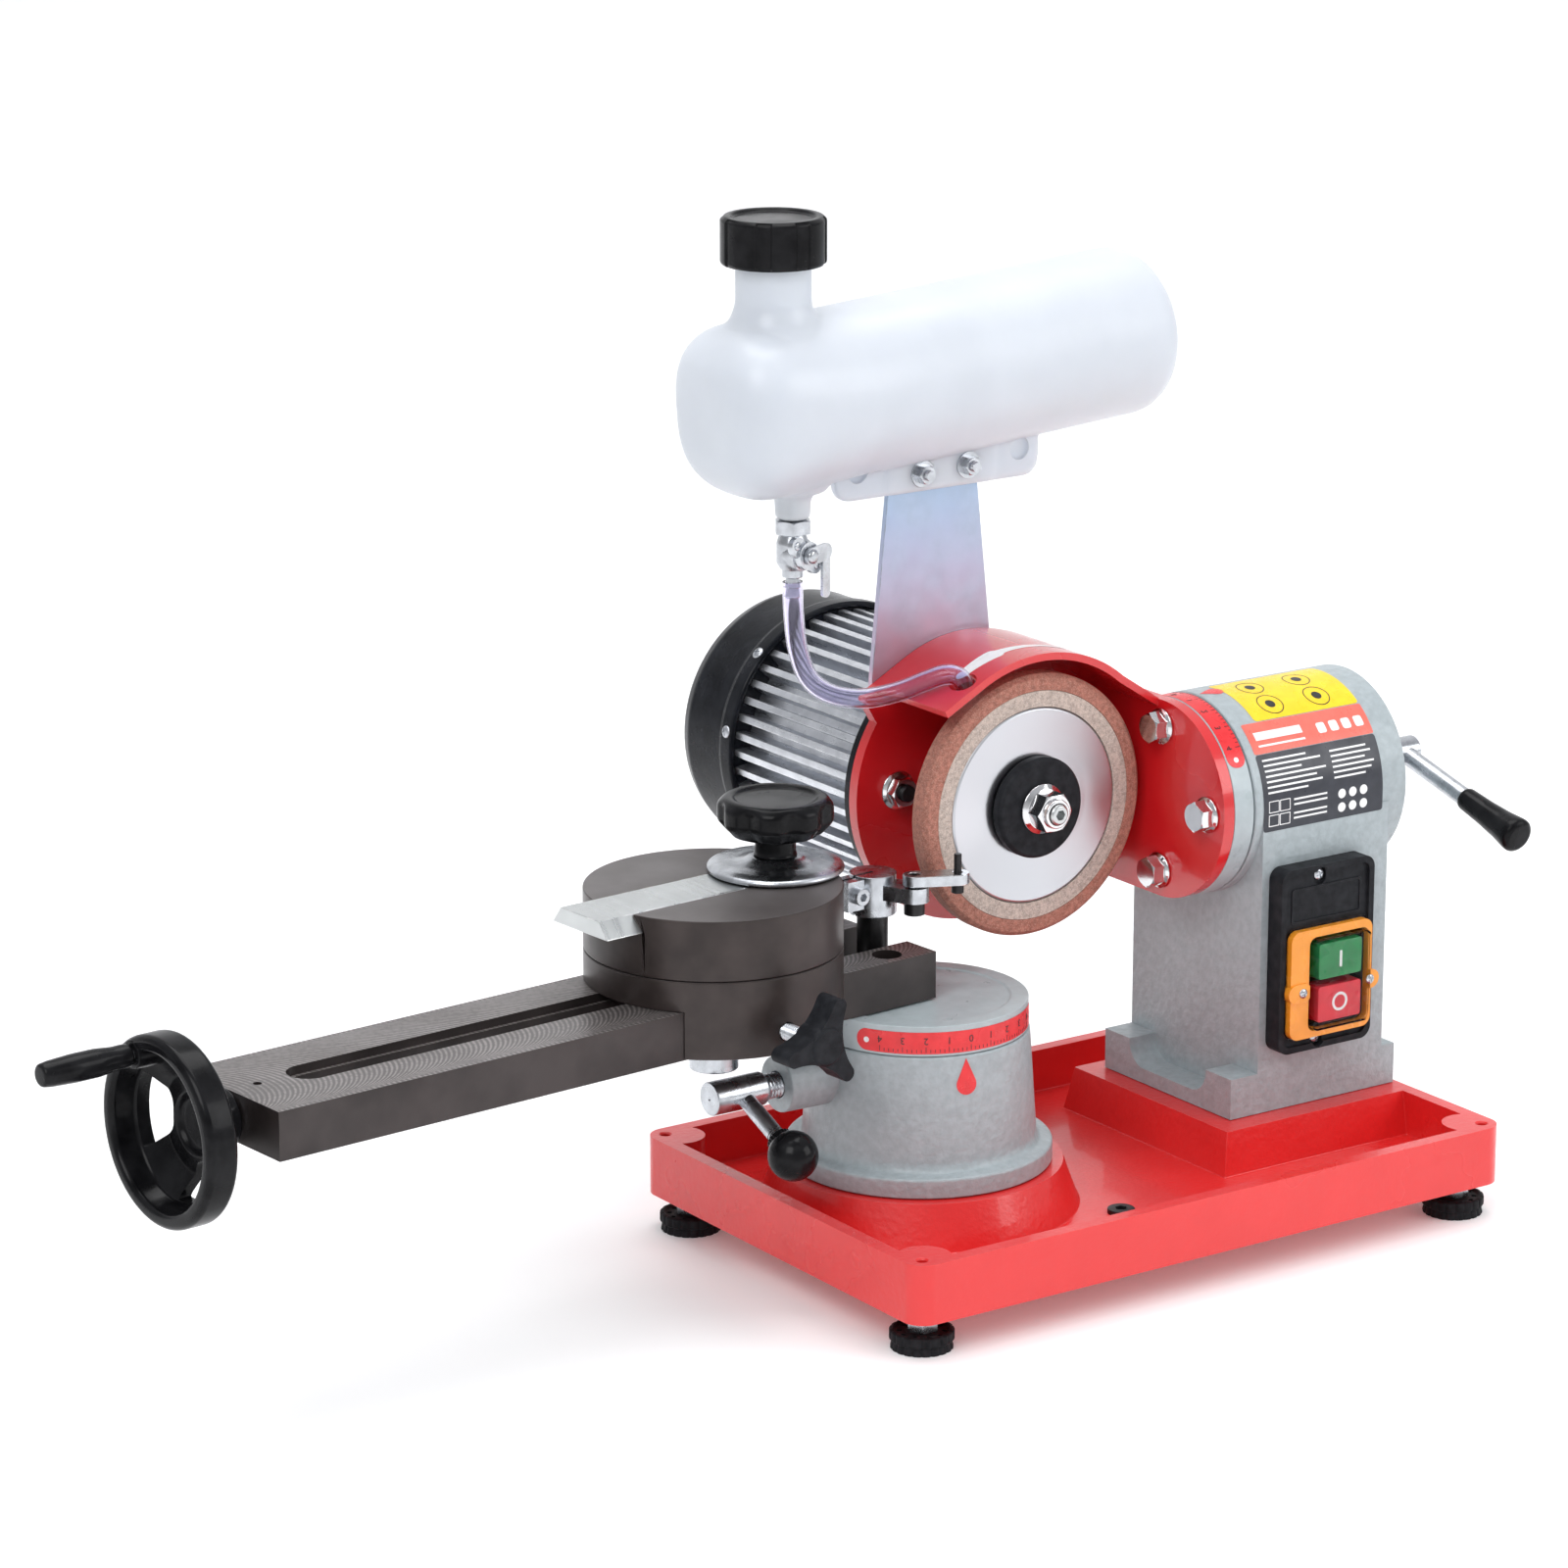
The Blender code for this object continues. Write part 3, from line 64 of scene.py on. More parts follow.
TRAY = Matrix.Scale(MM, 4) @ Matrix.Translation(-ORIGIN)
TABLE = TRAY @ Matrix.Translation((*BASE_CENTRE, 0)) @ Matrix.Rotation(math.radians(TABLE_TURN), 4, "Z")
TAP = TRAY @ Matrix.Translation(TAP_AT) @ Matrix.Rotation(math.radians(TAP_TURN), 4, "Z")
LINKED = bpy.context.scene.collection.objects

TRAY_LENGTH, TRAY_WIDTH, TRAY_HEIGHT = 340.0, 220.0, 28.0
POST = (-6.3, 26.5)
SCREW_AXIS = (26.5, 117.5)
CRANK = (26.5 + 34.6 * math.sin(math.radians(28)), 117.5 + 34.6 * math.cos(math.radians(28)))
CARRIAGE = (-99.2, 26.5)
CLAMP = (-63.5, 26.5)
STAR_AXIS = (-103.6, 117.2)
LINK_PIVOT, LINK_TIP = (2.2, 6.9), (19.6, -3.0)
LOCK_AXIS = (126.0, 75.5)
BARREL, BARREL_RADIUS = (125.5, 175.5), 48.0
COLUMN_Y = (77.5, 173.5)
SPINDLE = (162.0, 180.7)
SPINDLE_AT = (162.0, 0.0, 180.7)
HOOD_RADIUS, HOOD_WALL = 73.5, 3.5
HOOD_ARC = (118.0, 50.0)
HOOD_EDGE = (107.0, 234.7)
TANK_AXIS_Y = 186.0
HOSE_RADIUS = 4.7
HOSE_ROUTE = (
    (62, 186, 290.6), (62.6, 186, 275), (65, 186, 258), (70, 184, 244), (79, 179, 236.5),
    (91, 171, 234.5), (103, 161, 238), (112, 152, 243.6), (118.5, 146, 247), (123, 141.5, 246.5),
    (126.6, 137.2, 240.6),
)


# ---- shapes: each is a loose object in millimetres until piece() finishes it ----


def as_object(shape):
    mesh = bpy.data.meshes.new("shape")
    shape.to_mesh(mesh)
    shape.free()
    obj = bpy.data.objects.new("shape", mesh)
    LINKED.link(obj)
    return obj


def placed(at, direction):
    return Matrix.Translation(Vector(at)) @ Z.rotation_difference(Vector(direction)).to_matrix().to_4x4()


def box(low, high):
    shape = bmesh.new()
    bmesh.ops.create_cube(shape, size=1.0)
    low, high = Vector(low), Vector(high)
    bmesh.ops.scale(shape, vec=high - low, verts=shape.verts)
    bmesh.ops.translate(shape, vec=(low + high) / 2, verts=shape.verts)
    return as_object(shape)


def rod(at, direction, radius, low, high, sides=64, far=None):
    far = radius if far is None else far
    return lathe(at, direction, [(0, low), (radius, low), (far, high), (0, high)], 0, sides)


def eased(points, ease, closed, steps=3):
    """The outline with each corner replaced by a short curve."""
    if not ease:
        return [Vector(p) for p in points]
    points = [Vector(p) for p in points]
    result = [] if closed else [points[0]]
    count = len(points)
    for i in range(count) if closed else range(1, count - 1):
        before, here, after = points[i - 1], points[i], points[(i + 1) % count]
        back = min(ease, (before - here).length * 0.45)
        ahead = min(ease, (after - here).length * 0.45)
        start = here + (before - here).normalized() * back
        end = here + (after - here).normalized() * ahead
        for j in range(steps + 1):
            t = j / steps
            result.append(start * (1 - t) ** 2 + here * 2 * t * (1 - t) + end * t * t)
    return result if closed else result + [points[-1]]


def lathe(at, direction, profile, ease=0.6, sides=96, swell=None):
    """A profile of (radius, distance along the axis) turned about an axis. swell(angle, radius, distance)
    scales the radius, for knobs with lobes. It is closed on itself unless it starts on the axis."""
    closed = profile[0][0] > 0
    turn = placed(at, direction)
    shape = bmesh.new()
    rings = []
    for radius, along in eased(profile, ease, closed):
        if radius < 1e-6:
            rings.append([shape.verts.new(turn @ Vector((0, 0, along)))] * sides)
            continue
        ring = []
        for i in range(sides):
            angle = 2 * math.pi * i / sides
            reach = radius * (swell(angle, radius, along) if swell else 1)
            ring.append(shape.verts.new(turn @ Vector((reach * math.cos(angle), reach * math.sin(angle), along))))
        rings.append(ring)
    pairs = list(zip(rings, rings[1:])) + ([(rings[-1], rings[0])] if closed else [])
    for one, two in pairs:
        for i in range(sides):
            j = (i + 1) % sides
            corners = list(dict.fromkeys((one[i], two[i], two[j], one[j])))
            if len(corners) > 2:
                shape.faces.new(corners)
    bmesh.ops.recalc_face_normals(shape, faces=shape.faces)
    return as_object(shape)


def bridge(shape, rings):
    """Faces between each ring of vertices and the next."""
    for one, two in zip(rings, rings[1:]):
        for i in range(len(one)):
            j = (i + 1) % len(one)
            shape.faces.new((one[i], one[j], two[j], two[i]))


def threaded(at, direction, radius, low, high, pitch=1.5, depth=0.7, sides=20):
    """A rod with a screw thread."""
    turn = placed(at, direction)
    shape = bmesh.new()
    count = max(2, int((high - low) / pitch * 4))
    rings = []
    for k in range(count + 1):
        along = low + (high - low) * k / count
        ring = []
        for i in range(sides):
            phase = (along / pitch - i / sides) % 1.0
            reach = radius - depth * (1 - abs(2 * phase - 1))
            angle = 2 * math.pi * i / sides
            ring.append(shape.verts.new(turn @ Vector((reach * math.cos(angle), reach * math.sin(angle), along))))
        rings.append(ring)
    bridge(shape, rings)
    shape.faces.new(reversed(rings[0]))
    shape.faces.new(rings[-1])
    bmesh.ops.recalc_face_normals(shape, faces=shape.faces)
    return as_object(shape)


FLAT_TURNS = {
    "X": Matrix(((0, 0, 1), (1, 0, 0), (0, 1, 0))).to_4x4(),
    "Y": Matrix(((1, 0, 0), (0, 0, -1), (0, 1, 0))).to_4x4(),
    "Z": Matrix.Identity(4),
}


def filled(curve):
    drawn = bpy.data.objects.new("drawn", curve)
    LINKED.link(drawn)
    graph = bpy.context.evaluated_depsgraph_get()
    mesh = bpy.data.meshes.new_from_object(drawn.evaluated_get(graph))
    bpy.data.objects.remove(drawn, do_unlink=True)
    shape = bmesh.new()
    shape.from_mesh(mesh)
    bmesh.ops.remove_doubles(shape, verts=shape.verts, dist=0.0005)
    bmesh.ops.dissolve_limit(
        shape, angle_limit=math.radians(0.5), verts=shape.verts, edges=shape.edges, delimit={"NORMAL"}
    )
    bmesh.ops.recalc_face_normals(shape, faces=shape.faces)
    return shape


def prism(axis, outline, low, high, holes=()):
    """An outline extruded from low to high. It is (y, z) on X, (x, z) on Y and (x, y) on Z."""
    curve = bpy.data.curves.new("outline", "CURVE")
    curve.dimensions = "2D"
    curve.fill_mode = "BOTH"
    curve.extrude = (high - low) / 2
    for loop in (outline, *holes):
        spline = curve.splines.new("POLY")
        spline.points.add(len(loop) - 1)
        for point, place in zip(spline.points, loop):
            point.co = (place[0], place[1], 0, 1)
        spline.use_cyclic_u = True
    shape = filled(curve)
    middle = (low + high) / 2
    bmesh.ops.translate(shape, vec=(0, 0, -middle if axis == "Y" else middle), verts=shape.verts)
    bmesh.ops.transform(shape, matrix=FLAT_TURNS[axis], verts=shape.verts)
    return as_object(shape)


def arc(centre, radius, start, end, steps=24):
    angles = [math.radians(start + (end - start) * i / steps) for i in range(steps + 1)]
    return [(centre[0] + radius * math.cos(a), centre[1] + radius * math.sin(a)) for a in angles]


def circle(centre, radius, steps=96):
    return arc(centre, radius, 0, 360 * (steps - 1) / steps, steps - 1)


def rounded(u, v, radius, steps=8):
    corners = (
        ((u[1] - radius, v[1] - radius), 0), ((u[0] + radius, v[1] - radius), 90),
        ((u[0] + radius, v[0] + radius), 180), ((u[1] - radius, v[0] + radius), 270),
    )
    return [p for centre, a in corners for p in arc(centre, radius, a, a + 90, steps)]


def link_outline(first, second, radius):
    heading = math.degrees(math.atan2(second[1] - first[1], second[0] - first[0]))
    return arc(second, radius, heading - 90, heading + 90) + arc(first, radius, heading + 90, heading + 270)


def hexagon(at, direction, across, low, high):
    """A hexagonal nut or bolt head with its corners turned off."""
    body = lathe(at, direction, [(0, low), (across * 0.577, low), (across * 0.577, high), (0, high)], 0, 6)
    crown = lathe(at, direction, [
        (0, low - 0.1), (across * 0.6, low - 0.1), (across * 0.6, high - 0.9), (across * 0.49, high + 0.05),
        (0, high + 0.05),
    ], 0, 48)
    return boolean(body, [crown], "INTERSECT")


def bake(obj):
    graph = bpy.context.evaluated_depsgraph_get()
    mesh = bpy.data.meshes.new_from_object(obj.evaluated_get(graph), preserve_all_data_layers=True, depsgraph=graph)
    obj.modifiers.clear()
    obj.data = mesh
    return obj


def boolean(target, tools, operation):
    for tool in tools:
        modifier = target.modifiers.new("boolean", "BOOLEAN")
        modifier.operation = operation
        modifier.object = tool
        modifier.solver = "EXACT"
    bake(target)
    for tool in tools:
        bpy.data.objects.remove(tool, do_unlink=True)
    return target


def cut(target, *tools):
    return boolean(target, tools, "DIFFERENCE")


def join(target, *tools):
    return boolean(target, tools, "UNION")


def merge(*objects):
    """One object of several that only touch, with no Boolean."""
    shape = bmesh.new()
    for obj in objects:
        shape.from_mesh(obj.data)
        bpy.data.objects.remove(obj, do_unlink=True)
    return as_object(shape)


def piece(name, obj, place, body, look, stands_for=(), bevel=0.5, segments=2, smooth=32):
    """Bevels, shades and names a shape, gives it a material, ties it to its body and hides the CAD nodes it stands
    for.
    """
    obj.data.transform(place)
    obj.data.shade_smooth()
    if bevel:
        edge = obj.modifiers.new("edge", "BEVEL")
        edge.width = bevel * MM
        edge.segments = segments
        edge.limit_method = "ANGLE"
        edge.angle_limit = math.radians(38)
        edge.material = 1
        obj.data.materials.clear()
        for _ in range(2):
            obj.data.materials.append(None)
        bake(obj)
        mask = obj.data.attributes.new("worn_edge", "FLOAT", "FACE")
        mask.data.foreach_set("value", [float(face.material_index) for face in obj.data.polygons])
        for face in obj.data.polygons:
            face.material_index = 0
    obj.data.shade_smooth()
    obj.data.set_sharp_from_angle(angle=math.radians(smooth))
    weigh = obj.modifiers.new("weigh", "WEIGHTED_NORMAL")
    weigh.keep_sharp = True
    bake(obj)
    obj.name = obj.data.name = name
    finish, slot = LOOKS[look]
    obj.data.materials.clear()
    obj.data.materials.append(finish)
    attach(obj, body)
    if stands_for:
        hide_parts(*stands_for)
    return obj


# ---- materials ----


def swirl_marks(tree, where, swirl):
    """Equal arcs side by side along the piece, as a face cutter leaves them, broken up by noise."""
    centre, turn, radius, pitch = swirl
    new, link = tree.nodes.new, tree.links.new

    def maths(operation, first, second=None):
        node = new("ShaderNodeMath")
        node.operation = operation
        for socket, value in zip(node.inputs, (first, second)):
            if isinstance(value, (int, float)):
                socket.default_value = value
            elif value is not None:
                link(value, socket)
        return node.outputs["Value"]

    local = new("ShaderNodeMapping")
    local.vector_type = "TEXTURE"
    local.inputs["Location"].default_value = centre
    local.inputs["Rotation"].default_value = (0, 0, math.radians(turn))
    link(where, local.inputs["Vector"])
    split = new("ShaderNodeSeparateXYZ")
    link(local.outputs["Vector"], split.inputs["Vector"])
    across = maths("MULTIPLY", split.outputs["Y"], split.outputs["Y"])
    bow = maths("SQRT", maths("MAXIMUM", maths("SUBTRACT", (radius * MM) ** 2, across), 0.0))
    phase = maths("MULTIPLY", maths("SUBTRACT", split.outputs["X"], bow), 2 * math.pi / (pitch * MM))
    grit = new("ShaderNodeTexNoise")
    grit.inputs["Scale"].default_value = 420.0
    grit.inputs["Detail"].default_value = 2.0
    link(where, grit.inputs["Vector"])
    patch = new("ShaderNodeTexNoise")
    patch.inputs["Scale"].default_value = 32.0
    link(where, patch.inputs["Vector"])
    broken = maths("MULTIPLY", grit.outputs["Fac"], maths("ADD", patch.outputs["Fac"], 0.4))
    lines = maths("ADD", maths("MULTIPLY", maths("SINE", phase), 0.5), 0.5)
    return maths("MULTIPLY", lines, maths("MULTIPLY", broken, 2.0))


def look(name, slot, colour, rough, metal=0.0, mottle=(120, 0.10), grain=(900, 0.15, 0.1), smudge=0.08, wear=None,
         stretch=(1, 1, 1), rings=None, coat=0.0, speck=None, painted_reflection=None, top=None, swirl=None, extra=()):
    """A finish with colour variation, uneven gloss, a fine surface relief and worn edges, all from nodes.

    mottle is (scale, share), grain is (scale, strength, relief in millimetres), wear is (colour, share),
    stretch scales the grain's directions, rings is (axis, centre, pitch) for turned marks in the row frame,
    speck is (colour, scale, share) for grains, painted_reflection is (low z, high z, low colour, high colour) for a
    painted reflection that goes from the low colour to the high colour with height, top is a lighter colour painted
    on faces that look up as a painted highlight from the light above, and swirl is (centre, turn, radius, pitch) for
    the arcs of a cutter."""
    material = bpy.data.materials.new(name)
    material.use_nodes = True
    tree = material.node_tree
    shader = tree.nodes["Principled BSDF"]
    new, link = tree.nodes.new, tree.links.new
    where = new("ShaderNodeTexCoord").outputs["Object"]

    def noise(scale, detail=3.0, turned=(1, 1, 1)):
        mapping = new("ShaderNodeMapping")
        mapping.inputs["Scale"].default_value = turned
        link(where, mapping.inputs["Vector"])
        node = new("ShaderNodeTexNoise")
        node.inputs["Scale"].default_value = scale
        node.inputs["Detail"].default_value = detail
        link(mapping.outputs["Vector"], node.inputs["Vector"])
        return node.outputs["Fac"]

    def ramp(source, low, high, first, last):
        node = new("ShaderNodeMapRange")
        node.inputs["From Min"].default_value = low
        node.inputs["From Max"].default_value = high
        node.inputs["To Min"].default_value = first
        node.inputs["To Max"].default_value = last
        link(source, node.inputs["Value"])
        return node.outputs["Result"]

    def mixed(factor, first, second):
        node = new("ShaderNodeMix")
        node.data_type = "RGBA"
        link(factor, node.inputs["Factor"])
        for socket, value in ((node.inputs["A"], first), (node.inputs["B"], second)):
            if isinstance(value, tuple):
                socket.default_value = (*value, 1.0)
            else:
                link(value, socket)
        return node.outputs["Result"]

    share = mottle[1]
    light = tuple(min(1.0, c * (1 + share) + 0.004) for c in colour)
    dark = tuple(c * (1 - share) for c in colour)
    shade = mixed(ramp(noise(mottle[0]), 0.35, 0.65, 0, 1), dark, light)
    # Painted reflection: the colour shifts from the low colour to the high colour with height, over most of the
    # mottle.
    if painted_reflection:
        low, high, low_colour, high_colour = painted_reflection
        split = new("ShaderNodeSeparateXYZ")
        link(where, split.inputs["Vector"])
        reflection_colour = mixed(ramp(split.outputs["Z"], low, high, 0, 1), low_colour, high_colour)
        shade = mixed(ramp(noise(mottle[0] * 0.4), 0.3, 0.7, 0.45, 0.95), shade, reflection_colour)
    marks = None
    if swirl:
        marks = swirl_marks(tree, where, swirl)
    # Painted highlight: faces that look up take the lighter top colour, as if lit from above, with the cutter's real
    # arcs in it.
    if top:
        facing = new("ShaderNodeSeparateXYZ")
        link(new("ShaderNodeNewGeometry").outputs["True Normal"], facing.inputs["Vector"])
        lit = mixed(ramp(marks, 0.2, 0.95, 0, 1), tuple(c * 0.62 for c in top),
                    tuple(c * 1.9 for c in top)) if swirl else top
        shade = mixed(ramp(facing.outputs["Z"], 0.80, 0.97, 0, 1), shade, lit)
    if speck:
        cells = new("ShaderNodeTexVoronoi")
        cells.inputs["Scale"].default_value = speck[1]
        link(where, cells.inputs["Vector"])
        spots = ramp(cells.outputs["Distance"], 0.2, 0.45, speck[2], 0)
        shade = mixed(spots, shade, speck[0])
    if wear:
        worn = new("ShaderNodeAttribute")
        worn.attribute_name = "worn_edge"
        chance = new("ShaderNodeMath")
        chance.operation = "MULTIPLY"
        link(worn.outputs["Fac"], chance.inputs[0])
        link(ramp(noise(140.0), 0.42, 0.62, 0.15 * wear[1], wear[1]), chance.inputs[1])
        shade = mixed(chance.outputs["Value"], shade, wear[0])
    link(shade, shader.inputs["Base Color"])
    link(ramp(noise(mottle[0] * 0.6, 4.0, stretch), 0.3, 0.7, max(0.02, rough - smudge), rough + smudge),
         shader.inputs["Roughness"])
    relief = noise(grain[0], 3.0, stretch)
    if rings:
        axis, centre, pitch = rings
        mapping = new("ShaderNodeMapping")
        mapping.inputs["Location"].default_value = tuple(-c for c in centre)
        link(where, mapping.inputs["Vector"])
        wave = new("ShaderNodeTexWave")
        wave.wave_type = "RINGS"
        wave.rings_direction = axis
        wave.inputs["Scale"].default_value = 0.314 / (pitch * MM)
        wave.inputs["Distortion"].default_value = 0.1
        link(mapping.outputs["Vector"], wave.inputs["Vector"])
        relief = wave.outputs["Fac"]
    bump = new("ShaderNodeBump")
    bump.inputs["Strength"].default_value = grain[1]
    bump.inputs["Distance"].default_value = grain[2] * MM
    link(relief, bump.inputs["Height"])
    link(bump.outputs["Normal"], shader.inputs["Normal"])
    shader.inputs["Metallic"].default_value = metal
    shader.inputs["Coat Weight"].default_value = coat
    shader.inputs["Coat Roughness"].default_value = 0.08
    for socket, value in extra:
        shader.inputs[socket].default_value = value
    LOOKS[name] = (material, slot)
    return material


LOOKS = {}
DULL = (("Specular IOR Level", 0.10),)
SPINDLE_WORLD = tuple(TRAY @ Vector(SPINDLE_AT))
CARRIAGE_WORLD = tuple(TABLE @ Vector((*CARRIAGE, 0)))
SWIRL_WORLD = tuple(TABLE @ Vector((0, 26.5, 0)))
look("tray_red", "red_paint", (0.74, 0.020, 0.020), 0.30, mottle=(25, 0.03), grain=(330, 0.55, 0.40), coat=0.35,
     wear=((0.80, 0.10, 0.09), 0.7))
look("head_red", "red_paint", (0.62, 0.008, 0.012), 0.24, mottle=(25, 0.04), grain=(700, 0.12, 0.12), coat=0.6,
     wear=((0.85, 0.16, 0.14), 0.8))
look("hammered_grey", "grey_paint", (0.36, 0.41, 0.43), 0.42, mottle=(260, 0.07), grain=(330, 0.9, 0.60), coat=0.15,
     wear=((0.52, 0.56, 0.57), 0.6))
look("smooth_grey", "grey_paint", (0.40, 0.46, 0.48), 0.34, mottle=(150, 0.05), grain=(520, 0.25, 0.2), coat=0.2,
     wear=((0.60, 0.63, 0.64), 0.7))
look("black_gloss", "black_plastic", (0.006, 0.006, 0.007), 0.22, mottle=(90, 0.3), grain=(800, 0.12, 0.1), coat=0.05,
     wear=((0.05, 0.05, 0.052), 0.6), extra=DULL)
look("black_matt", "matt_black_plastic", (0.014, 0.015, 0.018), 0.46, mottle=(200, 0.2), grain=(1500, 0.5, 0.12),
     wear=((0.07, 0.07, 0.075), 0.6), extra=DULL)
look("black_enamel", "black_paint", (0.007, 0.008, 0.011), 0.24, mottle=(80, 0.3), grain=(450, 0.3, 0.25), coat=0.06,
     wear=((0.08, 0.08, 0.09), 0.7), extra=DULL)
# The top colours of the oxide finishes are painted highlights on faces that look up.
look("oxide_ground", "black_oxide", (0.034, 0.026, 0.025), 0.36, 0.3, mottle=(35, 0.25), grain=(700, 0.35, 0.12),
     wear=((0.30, 0.26, 0.24), 0.8), top=(0.125, 0.112, 0.109), swirl=(SWIRL_WORLD, TABLE_TURN, 34.0, 2.6))
look("oxide_turned", "black_oxide", (0.036, 0.026, 0.024), 0.38, 0.35, mottle=(50, 0.22), grain=(700, 0.3, 0.06),
     rings=("Z", CARRIAGE_WORLD, 1.1), wear=((0.32, 0.28, 0.26), 0.9), top=(0.10, 0.088, 0.086))
look("oxide_plain", "black_oxide", (0.018, 0.017, 0.018), 0.34, 0.5, mottle=(150, 0.25), grain=(900, 0.3, 0.1),
     wear=((0.24, 0.22, 0.21), 0.8))
look("bright_ground", "bright_steel", (0.56, 0.58, 0.58), 0.30, 1.0, mottle=(40, 0.05), grain=(700, 0.10, 0.03),
     stretch=(14, 1, 1), wear=((0.85, 0.85, 0.85), 0.8))
look("zinc_plate", "zinc", (0.52, 0.54, 0.57), 0.27, 1.0, mottle=(180, 0.12), grain=(700, 0.3, 0.15),
     wear=((0.86, 0.87, 0.88), 0.8))
look("chrome_plate", "chrome", (0.70, 0.70, 0.71), 0.10, 1.0, mottle=(120, 0.06), grain=(500, 0.12, 0.1), smudge=0.04,
     wear=((0.9, 0.9, 0.9), 0.6))
# The galvanised sheet carries a painted reflection, pinkish low down and blue higher up.
look("galvanised_sheet", "galvanised", (0.40, 0.47, 0.58), 0.38, 0.65, mottle=(160, 0.07), grain=(1100, 0.4, 0.06),
     wear=((0.30, 0.32, 0.36), 0.8), painted_reflection=(0.25, 0.345, (0.60, 0.40, 0.50), (0.36, 0.50, 0.68)))
look("fin_aluminium", "aluminium", (0.66, 0.68, 0.72), 0.32, 0.95, mottle=(140, 0.08), grain=(800, 0.3, 0.08),
     stretch=(6, 1, 6), wear=((0.92, 0.93, 0.94), 0.8))
turned = look("turned_aluminium", "aluminium", (0.58, 0.59, 0.62), 0.30, 1.0, mottle=(14, 0.02),
              grain=(700, 0.10, 0.02),
              smudge=0.02, rings=("Y", SPINDLE_WORLD, 0.5), extra=(("Anisotropic", 0.8),))
round_it = turned.node_tree.nodes.new("ShaderNodeTangent")
round_it.direction_type = "RADIAL"
round_it.axis = "Y"
turned.node_tree.links.new(round_it.outputs["Tangent"], turned.node_tree.nodes["Principled BSDF"].inputs["Tangent"])
look("brown_grit", "brown_abrasive", (0.36, 0.145, 0.105), 0.85, mottle=(500, 0.22), grain=(1600, 0.9, 0.25),
     speck=((0.62, 0.36, 0.28), 1500, 0.5), wear=((0.55, 0.33, 0.27), 0.7))
look("pale_grit", "brown_abrasive", (0.46, 0.38, 0.33), 0.8, mottle=(600, 0.2), grain=(1500, 0.8, 0.2),
     speck=((0.74, 0.66, 0.60), 1300, 0.6))
look("yellow_moulded", "yellow_plastic", (0.86, 0.31, 0.020), 0.30, mottle=(90, 0.06), grain=(1200, 0.15, 0.08),
     coat=0.2, wear=((0.95, 0.60, 0.20), 0.6))
look("green_moulded", "green_plastic", (0.004, 0.22, 0.055), 0.28, mottle=(150, 0.1), grain=(1200, 0.15, 0.05))
look("red_moulded", "red_plastic", (0.68, 0.012, 0.030), 0.28, mottle=(150, 0.08), grain=(1200, 0.15, 0.05))
look("white_print", "milky_plastic", (0.86, 0.86, 0.86), 0.4, mottle=(400, 0.04), grain=(1500, 0.1, 0.02))
look("black_print", "matt_black_plastic", (0.012, 0.012, 0.014), 0.4, mottle=(400, 0.2), grain=(1500, 0.1, 0.02))
look("red_film", "red_plastic", (0.74, 0.022, 0.028), 0.3, mottle=(200, 0.06), grain=(1500, 0.1, 0.02))
look("coral_film", "red_plastic", (0.85, 0.16, 0.12), 0.3, mottle=(200, 0.05), grain=(1500, 0.1, 0.02))
look("yellow_film", "yellow_plastic", (0.90, 0.62, 0.012), 0.3, mottle=(200, 0.05), grain=(1500, 0.1, 0.02))
look("dark_film", "matt_black_plastic", (0.024, 0.027, 0.038), 0.35, mottle=(200, 0.1), grain=(1500, 0.1, 0.02))
look("milky_blown", "milky_plastic", (0.60, 0.635, 0.685), 0.38, mottle=(28, 0.02), grain=(160, 0.12, 0.3),
     extra=(("Subsurface Weight", 0.6), ("Subsurface Radius", (0.02, 0.02, 0.022)), ("Subsurface Scale", 0.6)))
look("clear_moulded", "clear_plastic", (1.0, 1.0, 1.0), 0.03, mottle=(90, 0.02), grain=(300, 0.08, 0.1), smudge=0.015,
     extra=(("Transmission Weight", 1.0), ("IOR", 1.12)))
look("clear_hose", "clear_plastic", (0.86, 0.83, 1.0), 0.10, mottle=(120, 0.03), grain=(250, 0.10, 0.2), smudge=0.02,
     extra=(("Transmission Weight", 1.0), ("IOR", 1.33)))
look("foot_rubber", "rubber", (0.012, 0.012, 0.014), 0.55, mottle=(250, 0.25), grain=(1200, 0.6, 0.15),
     wear=((0.06, 0.06, 0.065), 0.6), extra=DULL)
look("steel_laminations", "laminations", (0.25, 0.25, 0.27), 0.45, 1.0, mottle=(300, 0.15), grain=(1500, 0.5, 0.1),
     stretch=(1, 12, 1))


# ---- printed films and figures, wrapped on the surface below them ----


def words(text, size, turn=0.0):
    """Generic figures as a thin flat shape centred on zero."""
    curve = bpy.data.curves.new("figures", "FONT")
    curve.body = text
    curve.size = size
    curve.align_x = "CENTER"
    curve.align_y = "CENTER"
    curve.extrude = 0.05
    shape = filled(curve)
    bmesh.ops.rotate(shape, cent=(0, 0, 0), matrix=Matrix.Rotation(math.radians(turn), 3, "Z"), verts=shape.verts)
    return as_object(shape)


def moved(obj, u, v, w=0.0):
    obj.data.transform(Matrix.Translation((u, v, w)))
    return obj


